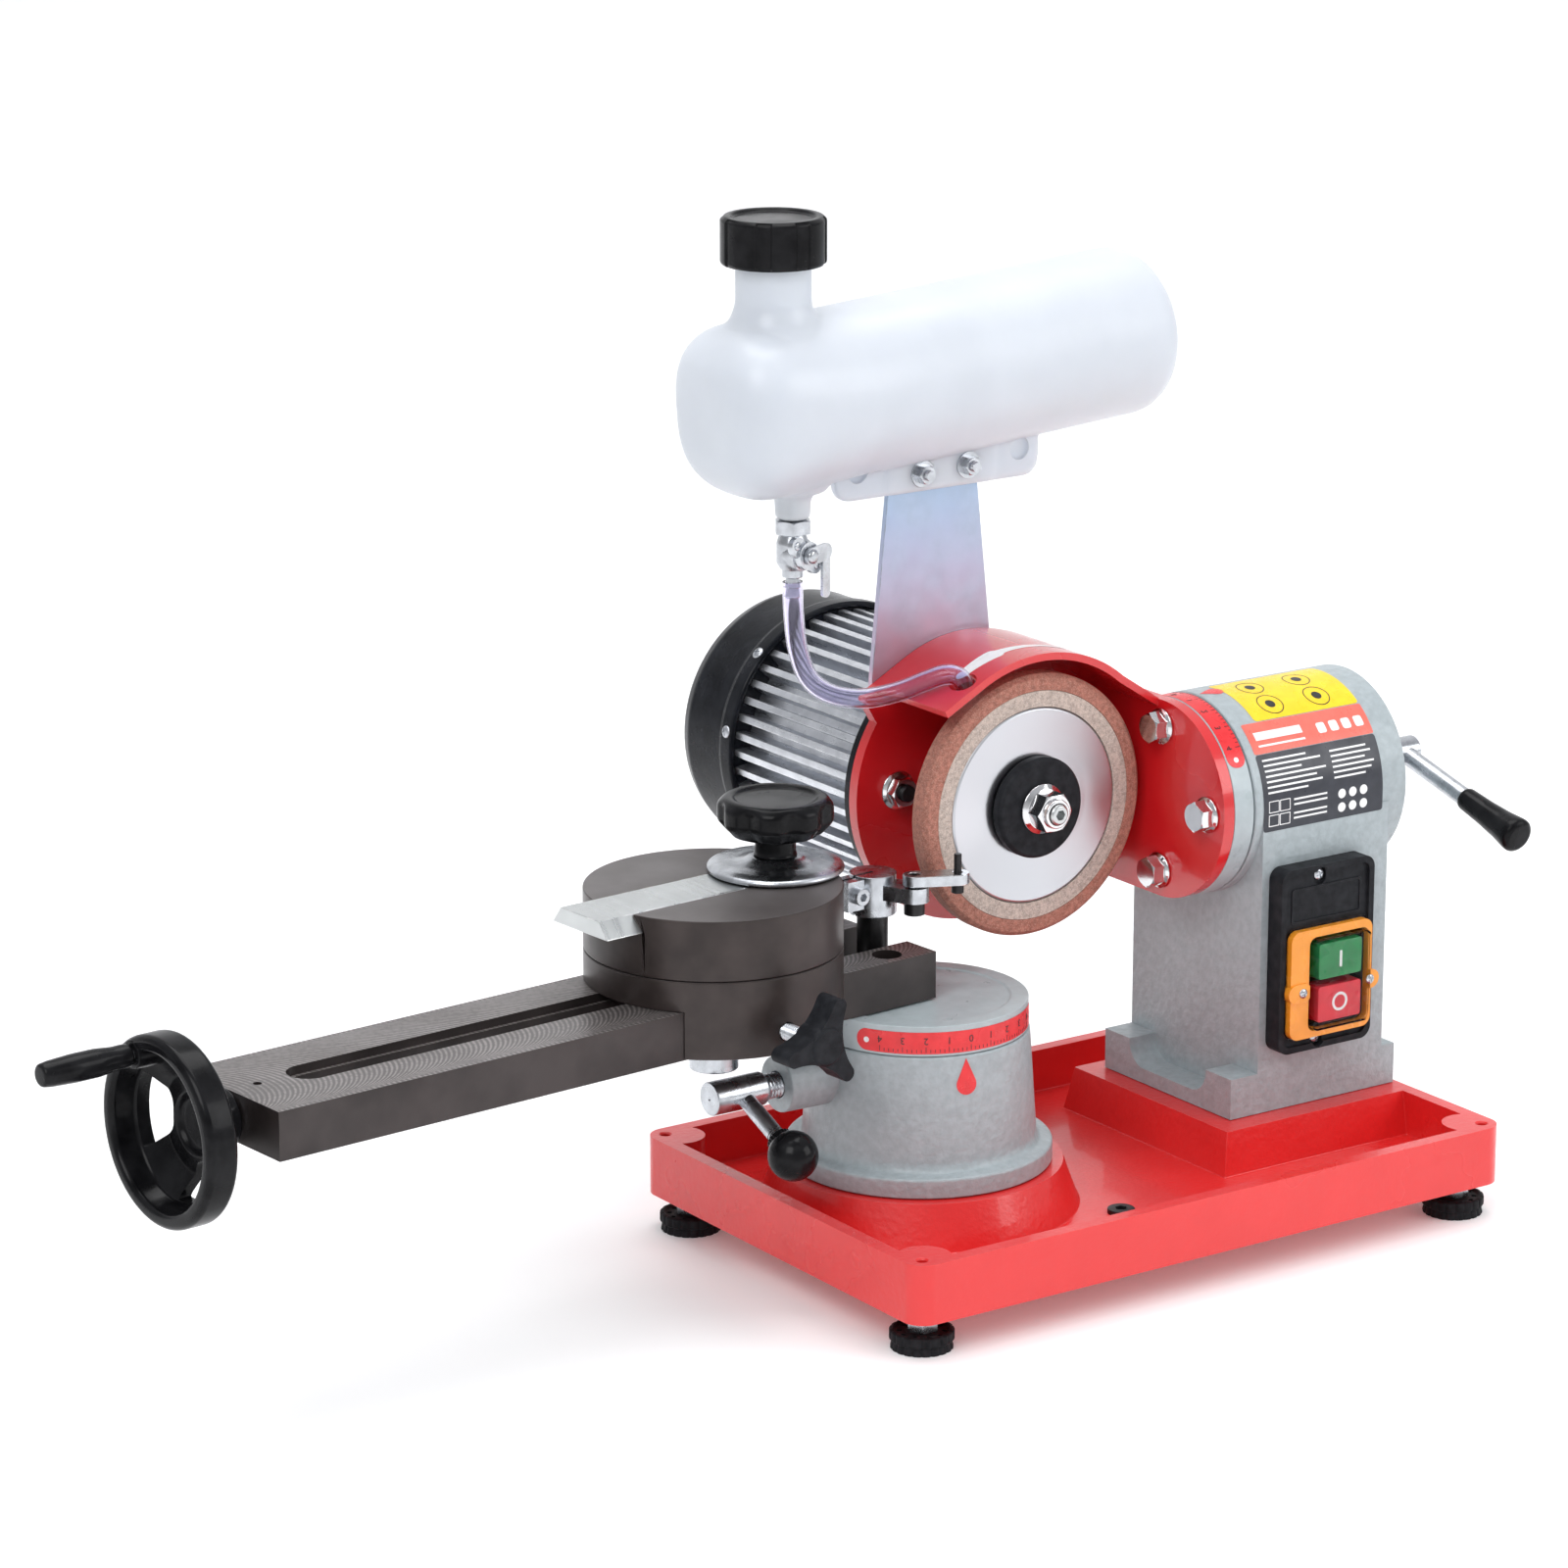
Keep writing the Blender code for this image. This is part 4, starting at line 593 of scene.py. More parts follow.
def wrapped(obj, mapping, step=1.5):
    """A flat shape in (u, v, height) cut into strips and laid on a surface by mapping(u, v, height)."""
    shape = bmesh.new()
    shape.from_mesh(obj.data)
    bpy.data.objects.remove(obj, do_unlink=True)
    for axis in (0, 1):
        places = [v.co[axis] for v in shape.verts]
        normal = (1, 0, 0) if axis == 0 else (0, 1, 0)
        at = math.ceil(min(places) / step) * step
        while at < max(places):
            bmesh.ops.bisect_plane(shape, geom=[*shape.verts, *shape.edges, *shape.faces], dist=1e-5,
                                   plane_co=Vector(normal) * at, plane_no=normal)
            at += step
    for vert in shape.verts:
        vert.co = mapping(*vert.co)
    bmesh.ops.recalc_face_normals(shape, faces=shape.faces)
    return as_object(shape)


def film(name, shape, mapping, place, body, finish, step=1.5):
    return piece(name, wrapped(shape, mapping, step), place, body, finish, bevel=0, smooth=40)


def drop_outline(width, height):
    """A drop with its tip at zero and its round end below."""
    radius = width / 2
    reach = height - radius
    spread = math.degrees(math.acos(radius / reach))
    return [(0, 0)] + arc((0, -reach), radius, 90 + spread, 450 - spread, 24)


# ---- small hardware ----


def cross_screw(name, at, direction, radius, body, finish="zinc_plate", place=TRAY):
    """A domed screw head with a cross recess, standing on a surface."""
    head = lathe(at, direction, [(0, -0.3), (radius, -0.3), (radius, 0.5), (radius * 0.55, radius * 0.42),
                                 (0, radius * 0.5)], 0.5, 48)
    turn = placed(at, direction)
    for angle in (20, 110):
        slot = box((-radius * 0.62, -radius * 0.13, radius * 0.18), (radius * 0.62, radius * 0.13, radius))
        slot.data.transform(turn @ Matrix.Rotation(math.radians(angle), 4, "Z"))
        cut(head, slot)
    return piece(name, head, place, body, finish, bevel=0)


def cap_screw(name, at, direction, radius, high, body, finish="oxide_plain", place=TRAY):
    """A socket-head screw with its top at high."""
    head = lathe(at, direction, [(0, high - radius * 1.1), (radius, high - radius * 1.1), (radius, high), (0, high)],
                 0.4, 48)
    cut(head, lathe(at, direction, [(0, high - radius * 0.7), (radius * 0.52, high - radius * 0.7),
                                    (radius * 0.52, high + 1), (0, high + 1)], 0, 6))
    return piece(name, head, place, body, finish, bevel=0)


# ---- tray and feet ----


def base_tray():
    over = TRAY_HEIGHT + 2
    body = prism("Z", rounded((0, TRAY_LENGTH), (0, TRAY_WIDTH), 10), 0, TRAY_HEIGHT)
    inside = ((7, TRAY_LENGTH - 7), (7, TRAY_WIDTH - 7))
    pocket = prism("Z", rounded(*inside, 4), 7, over)
    platform = box((226, 66, 6), (342, 182, over + 1))
    for vert in platform.data.vertices:
        if vert.co.z < 10:
            vert.co.x += -4.5 if vert.co.x < 230 else 0
            vert.co.y += -4.5 if vert.co.y < 100 else 4.5
    cut(pocket, platform, rod((*BASE_CENTRE, 0), Z, 74.6, 6, over + 1, 128, far=65.5))
    for x in (12.5, TRAY_LENGTH - 12.5):
        for y in (12.5, TRAY_WIDTH - 12.5):
            cut(pocket, rod((x, y, 0), Z, 12.3, 6, over + 1, 64))
    pocket_edge = pocket.modifiers.new("edge", "BEVEL")
    pocket_edge.width = 2.4
    pocket_edge.segments = 3
    pocket_edge.limit_method = "ANGLE"
    pocket_edge.angle_limit = math.radians(50)
    bake(pocket)
    recess = prism("Z", rounded(*inside, 50), -1, 3)
    cut(body, pocket, recess, box((233, 73, -1), (329, 176, 22)), rod((*BASE_CENTRE, 0), Z, 60, -1, 22, 96))
    for x in (8, TRAY_LENGTH - 8):
        for y in (8, TRAY_WIDTH - 8):
            cut(body, lathe((x, y, 0), Z, [(0, 21), (2.4, 21), (2.4, 27.2), (3.6, 28.4), (3.6, 30), (0, 30)], 0, 40))
    piece("tray_casting", body, TRAY, "stand", "tray_red", ["base_tray"], bevel=1.0, segments=3)
    plug = lathe((153.4, 52.8, 0), Z, [(0, 6.5), (6.4, 6.5), (6.4, 9.2), (0, 9.2)], 0.6, 64)
    cut(plug, lathe((153.4, 52.8, 0), Z, [(0, 7.6), (2.9, 7.6), (2.9, 12), (0, 12)], 0, 6))
    piece("drain_plug", plug, TRAY, "stand", "oxide_plain", bevel=0)


def feet():
    places = {"front_left": (15.5, 18), "front_right": (324.5, 18), "rear_left": (15.5, 202),
              "rear_right": (324.5, 202)}
    for where, at in places.items():
        def knurl(angle, radius, along):
            return 1 - 0.035 * max(0.0, math.cos(20 * angle)) ** 2 if radius > 13 else 1
        pad = lathe((*at, 0), Z, [
            (0, -8.6), (7, -8.6), (7.6, -9.4), (11.8, -9.4), (12.8, -8), (14.6, -8.6), (14.6, -12.6), (13.4, -13.4),
            (14.2, -17), (0, -17),
        ], 0.5, 160, knurl)
        for i in range(10):
            angle = 2 * math.pi * i / 10
            cut(pad, rod((at[0] + 10 * math.cos(angle), at[1] + 10 * math.sin(angle), 0), Z, 1.3, -12, -7, 16))
        body = "foot_" + where
        piece("foot_pad_" + where, pad, TRAY, body, "foot_rubber", [body], bevel=0)
        piece("foot_stud_" + where, threaded((*at, 0), Z, 4, -9, 12.8, 1.25, 0.6), TRAY, body, "zinc_plate", bevel=0)
        nut = cut(hexagon((*at, 0), Z, 13, -8.4, -3.4), rod((*at, 0), Z, 3.9, -10, 0, 24))
        piece("foot_nut_" + where, nut, TRAY, body, "zinc_plate", bevel=0)


# ---- swivel base, turntable and its scale ----


def swivel_base():
    at = (*BASE_CENTRE, 0)
    body = lathe(at, Z, [
        (50.5, 91.8), (54, 41.5), (55.2, 38.6), (61.5, 37.5), (61.5, 28.3), (45, 28.3), (45, 84), (12.5, 84),
        (12.5, 91.8),
    ], 1.3, 160)
    y, z = LOCK_AXIS
    join(body, lathe((0, y, z), X, [(0, 12), (13, 12), (13.6, 44), (0, 44)], 1.0, 80))
    cut(body, rod((0, y, z), X, 6.4, 8, 60, 48))
    piece("base_casting", body, TRAY, "stand", "hammered_grey", ["swivel_base"], bevel=0.7)
    facing = 233.9 + 24.6

    def on_base(u, v, w):
        radius = 50.5 + (91.8 - v) * (54 - 50.5) / 50.3 + 0.12 + w
        angle = math.radians(facing) + u / 50.5
        return Vector((BASE_CENTRE[0] + radius * math.cos(angle), BASE_CENTRE[1] + radius * math.sin(angle), v))

    drop = moved(prism("Z", drop_outline(9.6, 17), -0.05, 0.05), 0, 90.6)
    film("base_pointer", drop, on_base, TRAY, "stand", "red_film")


def turntable():
    disc = lathe((0, 0, 0), Z, [
        (0, 105.6), (41, 105.6), (41.8, 106.3), (49.8, 106.3), (49.8, 92.1), (12, 92.1), (12, 50), (0, 50),
    ], 0.5, 160)
    cut(disc, rod((*POST, 0), Z, 7.6, 95.5, 109, 48))
    piece("turntable_disc", disc, TABLE, "table", "smooth_grey", ["turntable"], bevel=0.4)
    zero = 233.9 + 27.9 - TABLE_TURN
    step = 12.2
    reach = math.radians(step) * 49.9

    def on_disc(u, v, w):
        angle = math.radians(zero) + u / 49.9
        radius = 49.95 + w
        return Vector((radius * math.cos(angle), radius * math.sin(angle), v))

    strip = prism("Z", rounded((-5.1 * reach, 5.1 * reach), (93.4, 103.6), 5), -0.05, 0.05)
    film("table_scale_strip", strip, on_disc, TABLE, "table", "red_film")
    marks = []
    for i in range(-20, 21):
        u = i * reach / 5
        tall = 2.6 if i % 5 == 0 else 1.5
        marks.append(box((u - 0.14, 94.0, 0.06), (u + 0.14, 94.0 + tall, 0.14)))
    film("table_scale_ticks", merge(*marks), on_disc, TABLE, "table", "black_print")
    figures = [moved(words(str(abs(i)), 4.6, 180), i * reach, 99.6, 0.12) for i in range(-4, 5)]
    film("table_scale_figures", merge(*figures), on_disc, TABLE, "table", "black_print")
    rivets = [moved(prism("Z", circle((0, 0), 1.3, 24), 0.06, 0.3), side * 4.62 * reach, 98.4) for side in (-1, 1)]
    film("table_scale_rivets", merge(*rivets), on_disc, TABLE, "table", "white_print")


def base_lock():
    y, z = LOCK_AXIS
    spindle = lathe((0, y, z), X, [(0, -24.7), (7.75, -24.7), (7.75, 3.0), (6.4, 4.0), (5.4, 4.0), (5.4, 9), (0, 9)],
                    0.8, 64)
    cut(spindle, lathe((0, y, z), X, [(0, -26), (1.8, -26), (0, -23.2)], 0, 24))
    drop = Vector((0, -42, -18))
    lever, at = drop.normalized(), (-8.0, y, z)
    join(spindle, rod(at, lever, 4.0, 1, 34, 40))
    piece("lock_spindle", spindle, TRAY, "base_lock", "zinc_plate", ["base_lock_handle"], bevel=0.4)
    piece("lock_thread", threaded((0, y, z), X, 6.0, 3.5, 75.6, 1.75, 0.9), TRAY, "base_lock", "zinc_plate", bevel=0)
    piece("lock_rod_thread", threaded(at, lever, 4.3, 30, 35.5, 1.2, 0.6), TRAY, "base_lock", "oxide_plain", bevel=0)

    def knurl(angle, radius, along):
        return 1 - 0.05 * (0.5 + 0.5 * math.cos(22 * angle))

    collar = lathe(at, lever, [(0, 33.5), (6.2, 33.5), (6.2, 38.2), (0, 38.2)], 0.5, 132, knurl)
    piece("lock_ball_collar", collar, TRAY, "base_lock", "black_gloss", bevel=0)
    profile = [(0, -11.5)] + [(11.5 * math.cos(math.radians(a)),
                               11.5 * math.sin(math.radians(a))) for a in range(-84, 67, 6)]
    ball = lathe(Vector(at) + drop, -lever, profile + [(4.4, 10.6), (0, 10.6)], 0, 64)
    piece("lock_ball", ball, TRAY, "base_lock", "black_gloss", ["base_lock_ball"], bevel=0)


# ---- beam, leadscrew and handwheel ----


def table_beam():
    y = SCREW_AXIS[0]
    beam = box((-358, -10, 106.6), (1, 62.5, 128.6))
    cut(
        beam,
        prism("Z", arc((-318, y), 8, 90, 270) + [(4, y - 8), (4, y + 8)], 105, 131),
        prism("Z", arc((-318, y), 10, 90, 270) + [(4, y - 10), (4, y + 10)], 124.6, 131),
        box((-45, y - 16, 105), (4, y + 16, 131)),
        rod((0, *SCREW_AXIS), X, 5.4, -360, -320, 40),
        rod((-344, 27, 0), Z, 2, 117.5, 131, 24),
        rod((-19.5, 0.5, 0), Z, 6.9, 114.6, 131, 48),
        rod((-19.5, 52.5, 0), Z, 6.9, 114.6, 131, 48),
    )
    piece("beam", beam, TABLE, "table", "oxide_ground", ["table_beam"], bevel=0.7)
    for name, bolt_y in (("front", 0.5), ("rear", 52.5)):
        cap_screw("beam_bolt_" + name, (-19.5, bolt_y, 0), Z, 5.0, 121.5, "table", place=TABLE)


def leadscrew():
    shaft = lathe((0, *SCREW_AXIS), X, [(0, -373.1), (4.2, -373.1), (5, -372.2), (5, -326.5), (0, -326.5)], 0.5, 48)
    piece("leadscrew_journal", shaft, TABLE, "leadscrew", "bright_ground", bevel=0)
    screw = threaded((0, *SCREW_AXIS), X, 4.0, -327, -48, 2.0, 0.8)
    piece("leadscrew_thread", screw, TABLE, "leadscrew", "bright_ground", ["leadscrew"], bevel=0)


def handwheel():
    axis = (0, *SCREW_AXIS)
    rim = lathe(axis, X, [
        (0, -373.4), (11.6, -374), (13.2, -377), (22, -376.4), (33.2, -384.6), (34.6, -394.4), (36, -396), (40, -396),
        (41.9, -394), (41.9, -382.6), (40.2, -381), (35.6, -380), (22, -370.8), (13.6, -367.6), (13, -360.5),
        (0, -360.5),
    ], 1.3, 144)
    windows = []
    for angle in (88, 208, 328):
        edge = [(r * math.sin(math.radians(angle + t)), r * math.cos(math.radians(angle + t)))
                for r, t in [(16.5, -22), (32.4, -33)] + [(32.4, t) for t in range(-27, 28, 6)] + [(32.4, 33),
                                                                                                   (16.5, 22)]]
        outline = eased([(SCREW_AXIS[0] + u, SCREW_AXIS[1] + v) for u, v in edge], 3.0, True)
        windows.append(prism("X", [tuple(point) for point in outline], -392, -362))
    cut(rim, *windows)
    join(rim, lathe((0, *CRANK), X, [(0, -396.2), (6.4, -396.2), (6.4, -382.4), (0, -382.4)], 1.0, 64))
    piece("handwheel_moulding", rim, TABLE, "leadscrew", "black_gloss", ["handwheel"], bevel=1.0, segments=3)
    steel = lathe(axis, X, [(0, -362), (9.5, -362), (9.5, -358.7), (0, -358.7)], 0.5, 64)
    piece("handwheel_collar", steel, TABLE, "leadscrew", "zinc_plate", bevel=0)
    cap_screw("handwheel_set_screw", (-368, SCREW_AXIS[0], SCREW_AXIS[1]), -Y, 2.6, 13.2, "leadscrew", place=TABLE)
    crank = (0, *CRANK)
    piece("crank_pin", lathe(crank, X, [(0, -440.2), (3, -440.2), (3, -381.6), (0, -381.6)], 0.4, 40), TABLE,
          "crank_grip", "zinc_plate", bevel=0)
    grip = lathe(crank, X, [
        (0, -397), (5.0, -397), (5.3, -400), (5.2, -405), (6.1, -413), (6.2, -424), (5.6, -436), (4.9, -440.5),
        (0, -440.5),
    ], 1.4, 64)
    piece("crank_grip_moulding", grip, TABLE, "crank_grip", "black_gloss", ["crank_grip"], bevel=0)


# ---- carriage, swivel plate and blade clamp ----


def carriage():
    x, y = CARRIAGE
    at = (x, y, 0)
    block = lathe(at, Z, [(0, 142.8), (58.5, 142.8), (58.5, 107), (0, 107)], 0.9, 192)
    cut(
        block,
        box((x - 62, -10.5, 104), (x + 62, 63, 129.0)),
        rod(at, Z, 14.4, 137.5, 145, 64),
        rod(at, Z, 8.1, 127, 134, 48),
        rod((STAR_AXIS[0], 0, STAR_AXIS[1]), Y, 4.4, -40, -8, 32),
    )
    piece("carriage_casting", block, TABLE, "carriage", "oxide_turned", ["carriage_block"], bevel=0.6)
    nut = lathe(at, Z, [(0, 133.5), (7.7, 133.5), (7.7, 106), (11.2, 106), (11.2, 84.8), (0, 84.8)], 0.7, 64)
    cut(nut, rod((0, *SCREW_AXIS), X, 4.4, -120, -80, 32))
    piece("leadscrew_nut_turned", nut, TABLE, "carriage", "zinc_plate", ["leadscrew_nut"], bevel=0.4)
    plate = lathe(at, Z, [(0, 170.8), (58.5, 170.8), (58.5, 143.1), (14, 143.1), (14, 138), (0, 138)], 0.9, 192)
    groove = [(6.1, 162.8), (46.9, 162.8), (40.4, 171.6), (12.6, 171.6)]
    cut(plate, prism("X", groove, x - 62, x + 62))
    piece("swivel_plate_turned", plate, TABLE, "swivel_plate", "oxide_turned", ["swivel_plate"], bevel=0.6)


def blade_clamp():
    bar = prism("X", [(6.5, 163.1), (46.5, 163.1), (40.5, 171.0), (12.5, 171.0)], -174, -48)
    cut(bar, rod((*CLAMP, 0), Z, 5.4, 160, 175, 40))
    piece("dovetail_bar_ground", bar, TABLE, "dovetail_bar", "bright_ground", ["dovetail_bar"], bevel=0.5)
    at = (*CLAMP, 0)
    dish = lathe(at, Z, [
        (11.5, 178), (13.6, 176.8), (18, 175.6), (26, 175.2), (30.4, 174.2), (31.4, 172.8), (30.8, 171.4),
        (28, 171.8),
        (5.4, 171.8), (5.4, 178),
    ], 1.2, 128)
    piece("clamp_dish", dish, TABLE, "clamp_washer", "zinc_plate", ["clamp_washer"], bevel=0)

    def scallops(angle, radius, along):
        if radius < 20:
            return 1
        height = max(0.0, min(1.0, (204.6 - along) / 3.0))
        return 1 - 0.10 * height * (0.5 - 0.5 * math.cos(8 * angle)) ** 2

    knob = lathe(at, Z, [
        (0, 204.2), (18.2, 204.2), (19.4, 205.7), (23.4, 205.4), (26.4, 202.2), (26.4, 194.6), (21, 188.6),
        (12, 187.3),
        (9.2, 186.4), (9.4, 179.2), (10.2, 178.3), (0, 178.3),
    ], 1.6, 192, scallops)
    piece("clamp_knob_moulding", knob, TABLE, "clamp_knob", "black_gloss", ["clamp_knob"], bevel=0)
    stud = threaded(at, Z, 5.0, 165, 180, 1.5, 0.7)
    piece("clamp_stud", stud, TABLE, "clamp_knob", "zinc_plate", bevel=0)


def star_knob():
    x, z = STAR_AXIS
    arm, tip, hollow_at, hollow = 18.5, 3.6, 38.9, 30.1
    outline = []
    for i in range(216):
        angle = math.radians(i * 360 / 216)
        off = abs((angle - math.radians(68) + math.pi / 3) % (2 * math.pi / 3) - math.pi / 3)
        if off < math.atan2(tip, arm):
            reach = arm * math.cos(off) + math.sqrt(tip**2 - (arm * math.sin(off)) ** 2)
        else:
            side = math.pi / 3 - off
            reach = hollow_at * math.cos(side) - math.sqrt(hollow**2 - (hollow_at * math.sin(side)) ** 2)
        outline.append((x + reach * math.cos(angle), z + reach * math.sin(angle)))
    knob = prism("Y", outline, -60, -47.6)
    join(knob, lathe((x, 0, z), Y, [(0, -61), (8.2, -61), (9.4, -59), (9.4, -47), (0, -47)], 0.8, 64))
    piece("star_knob_moulding", knob, TABLE, "star_knob", "black_matt", ["star_knob"], bevel=1.4, segments=4,
          smooth=45)
    stud = threaded((x, 0, z), Y, 4.0, -49, -10.4, 1.25, 0.6)
    piece("star_knob_stud", stud, TABLE, "star_knob", "zinc_plate", bevel=0)


# ---- tooth stop ----


def tooth_stop():
    post = lathe((*POST, 0), Z, [(0, 95.8), (7.2, 95.8), (7.2, 156.8), (0, 156.8)], 0.6, 64)
    piece("stop_post_turned", post, TABLE, "stop_post", "oxide_plain", ["stop_post"], bevel=0)
    hub = lathe((*POST, 0), Z, [(0, 140.3), (11, 140.3), (11, 159.5), (0, 159.5)], 0.5, 72)
    lug = box((POST[0] - 19, POST[1] - 5.4, 144.5), (POST[0] - 6, POST[1] + 5.4, 158.5))
    join(hub, prism("Z", link_outline(POST, LINK_PIVOT, 6.8), 148.5, 155.5), lug)
    cut(
        hub,
        rod((*POST, 0), Z, 7.5, 138, 157.1, 64),
        box((POST[0] - 21, POST[1] - 0.9, 138), (POST[0], POST[1] + 0.9, 162)),
        rod((*LINK_PIVOT, 0), Z, 2.8, 146, 158, 32),
    )
    piece("stop_clamp_casting", hub, TABLE, "stop_clamp", "zinc_plate", ["stop_clamp"], bevel=0.7, segments=3)
    cap_screw("stop_pinch_screw", (POST[0] - 13, 0, 151.5), -Y, 4.0, -POST[1] + 9.2, "stop_clamp", "zinc_plate",
              TABLE)
    link = prism("Z", link_outline(LINK_PIVOT, LINK_TIP, 5.5), 156.0, 161.3)
    cut(link, rod((*LINK_TIP, 0), Z, 2.1, 154, 163, 32), rod((*LINK_PIVOT, 0), Z, 2.8, 154, 163, 32))
    piece("stop_link_plate", link, TABLE, "stop_link", "zinc_plate", ["stop_link"], bevel=0.6)
    pin = lathe((*LINK_TIP, 0), Z, [(0, 170), (1.8, 170), (1.8, 155.7), (2.9, 155.7), (2.9, 151.5), (0, 151.5)], 0.4,
                40)
    piece("stop_pin_turned", pin, TABLE, "stop_link", "oxide_plain", ["stop_pin"], bevel=0)
    screw = lathe((*LINK_PIVOT, 0), Z, [(0, 161), (2.5, 161), (2.5, 148.1), (4.8, 148.1), (4.8, 142.2), (0, 142.2)],
                  0.4, 48)
    cut(screw, lathe((*LINK_PIVOT, 0), Z, [(0, 157.6), (1.4, 157.6), (1.4, 163), (0, 163)], 0, 6))
    piece("stop_screw_turned", screw, TABLE, "stop_clamp", "oxide_plain", ["stop_screw"], bevel=0)


# ---- column, barrel, label and switch ----


def column():
    y0, y1 = COLUMN_Y
    middle, floor, scoop, top = (y0 + y1) / 2, 35.5, 29.0, 49
    body = box((253, y0, 28.3), (329, y1, 169.5))
    plinth = box((237, y0, 28.3), (337, y1, 48))
    tools = []
    outline = [(middle + scoop, top), (middle - scoop, top)]
    outline += arc((middle - scoop + 11, floor + 11), 11, 180, 270, 12) + arc((middle + scoop - 11, floor + 11), 11,
                                                                              270, 360, 12)
    tools.append(prism("X", outline, 235, 252.95))
    tools.append(prism("X", outline, 329.05, 339))
    cut(plinth, *tools)
    join(body, plinth, lathe((0, *BARREL), X, [(0, 248.5), (48, 248.5), (48, 340), (0, 340)], 1.2, 192))
    cut(
        body,
        box((263, y0 + 10, 20), (319, y1 - 10, 120)),
        rod((0, *BARREL), X, 16.5, 240, 336, 64),
        rod((0, *BARREL), X, 5.5, 334, 342, 40),
        box((271, y0 - 2, 66), (311, y0 + 12, 117)),
    )
    piece("column_casting", body, TRAY, "stand", "hammered_grey", ["column"], bevel=1.1, segments=3)


def on_barrel(u, v, w):
    """u is the distance along the barrel and v the distance round it from its top towards the front."""
    radius = BARREL_RADIUS + 0.12 + w
    flat_from = BARREL_RADIUS * math.pi / 2
    if v > flat_from:
        return Vector((u, BARREL[0] - radius, BARREL[1] - (v - flat_from)))
    angle = math.pi / 2 + v / BARREL_RADIUS
    return Vector((u, BARREL[0] + radius * math.cos(angle), BARREL[1] + radius * math.sin(angle)))


def round_at(angle):
    return math.radians(angle - 90) * BARREL_RADIUS


def barrel_label():
    """A coloured plate with plain bars and blank badges in place of its print."""
    left, right = 253.0, 325.0
    yellow = prism("Z", rounded((262, right), (round_at(82), round_at(127)), 2), -0.05, 0.05)
    film("label_yellow", yellow, on_barrel, TRAY, "stand", "yellow_film", 2.0)
    badges = []
    for u in (277.5, 305.5):
        for angle in (97, 116):
            middle = (u, round_at(angle))
            badges.append(prism("Z", circle(middle, 6.8, 40), 0.06, 0.12, [circle(middle, 6.3, 40)]))
            badges.append(prism("Z", circle(middle, 2.6, 24), 0.06, 0.12))
    film("label_badges", merge(*badges), on_barrel, TRAY, "stand", "black_print", 2.0)
    band = prism("Z", rounded((left, right), (round_at(127.6), round_at(147)), 1), -0.05, 0.05)
    film("label_band", band, on_barrel, TRAY, "stand", "coral_film", 2.0)
    stripes = [box((left + 4, round_at(134), 0.06), (left + 32, round_at(139), 0.12))]
    stripes.append(box((left + 4, round_at(142), 0.06), (left + 32, round_at(143.2), 0.12)))
    for i in range(4):
        stripes.append(prism("Z", rounded((294 + 7.5 * i, 299 + 7.5 * i), (round_at(135), round_at(141.5)), 1.2),
                             0.06, 0.12))
    film("label_band_marks", merge(*stripes), on_barrel, TRAY, "stand", "white_print", 2.0)
    bottom = round_at(180) + 9.5
    dark = prism("Z", rounded((left, right), (round_at(147.4), bottom), 1.5), -0.05, 0.05)
    film("label_field", dark, on_barrel, TRAY, "stand", "dark_film", 2.0)
    lines = []
    lengths = (26, 34, 22, 36, 30, 33, 24)
    for i, length in enumerate(lengths):
        low = round_at(150.5) + 2.55 * i
        lines.append(box((left + 3, low, 0.06), (left + 3 + length, low + 0.9, 0.12)))
    for i, length in enumerate((22, 24, 20, 25, 23, 19)):
        low = round_at(152) + 2.55 * i
        lines.append(box((left + 43, low, 0.06), (left + 43 + length, low + 0.9, 0.12)))
    for row in (0, 1):
        top = round_at(174) + 6.6 * row
        for cell in (0, 1):
            u = left + 3 + 6.6 * cell
            lines.append(prism("Z", rounded((u, u + 6.2), (top, top + 5.6), 0.3), 0.06, 0.12,
                               [rounded((u + 0.4, u + 5.8), (top + 0.4, top + 5.2), 0.2)]))
        for i in range(2):
            lines.append(box((left + 18, top + 0.6 + 2.4 * i, 0.06), (left + 38, top + 1.5 + 2.4 * i, 0.12)))
        for i in range(3):
            lines.append(prism("Z", circle((left + 47 + 6.6 * i, top + 2.8), 2.3, 24), 0.06, 0.12))
    film("label_lines", merge(*lines), on_barrel, TRAY, "stand", "white_print", 2.0)
    pointer = prism("Z", [(250.2 - v, round_at(93) + u) for u, v in drop_outline(8.0, 13)], -0.05, 0.05)
    film("barrel_pointer", pointer, on_barrel, TRAY, "stand", "red_film")


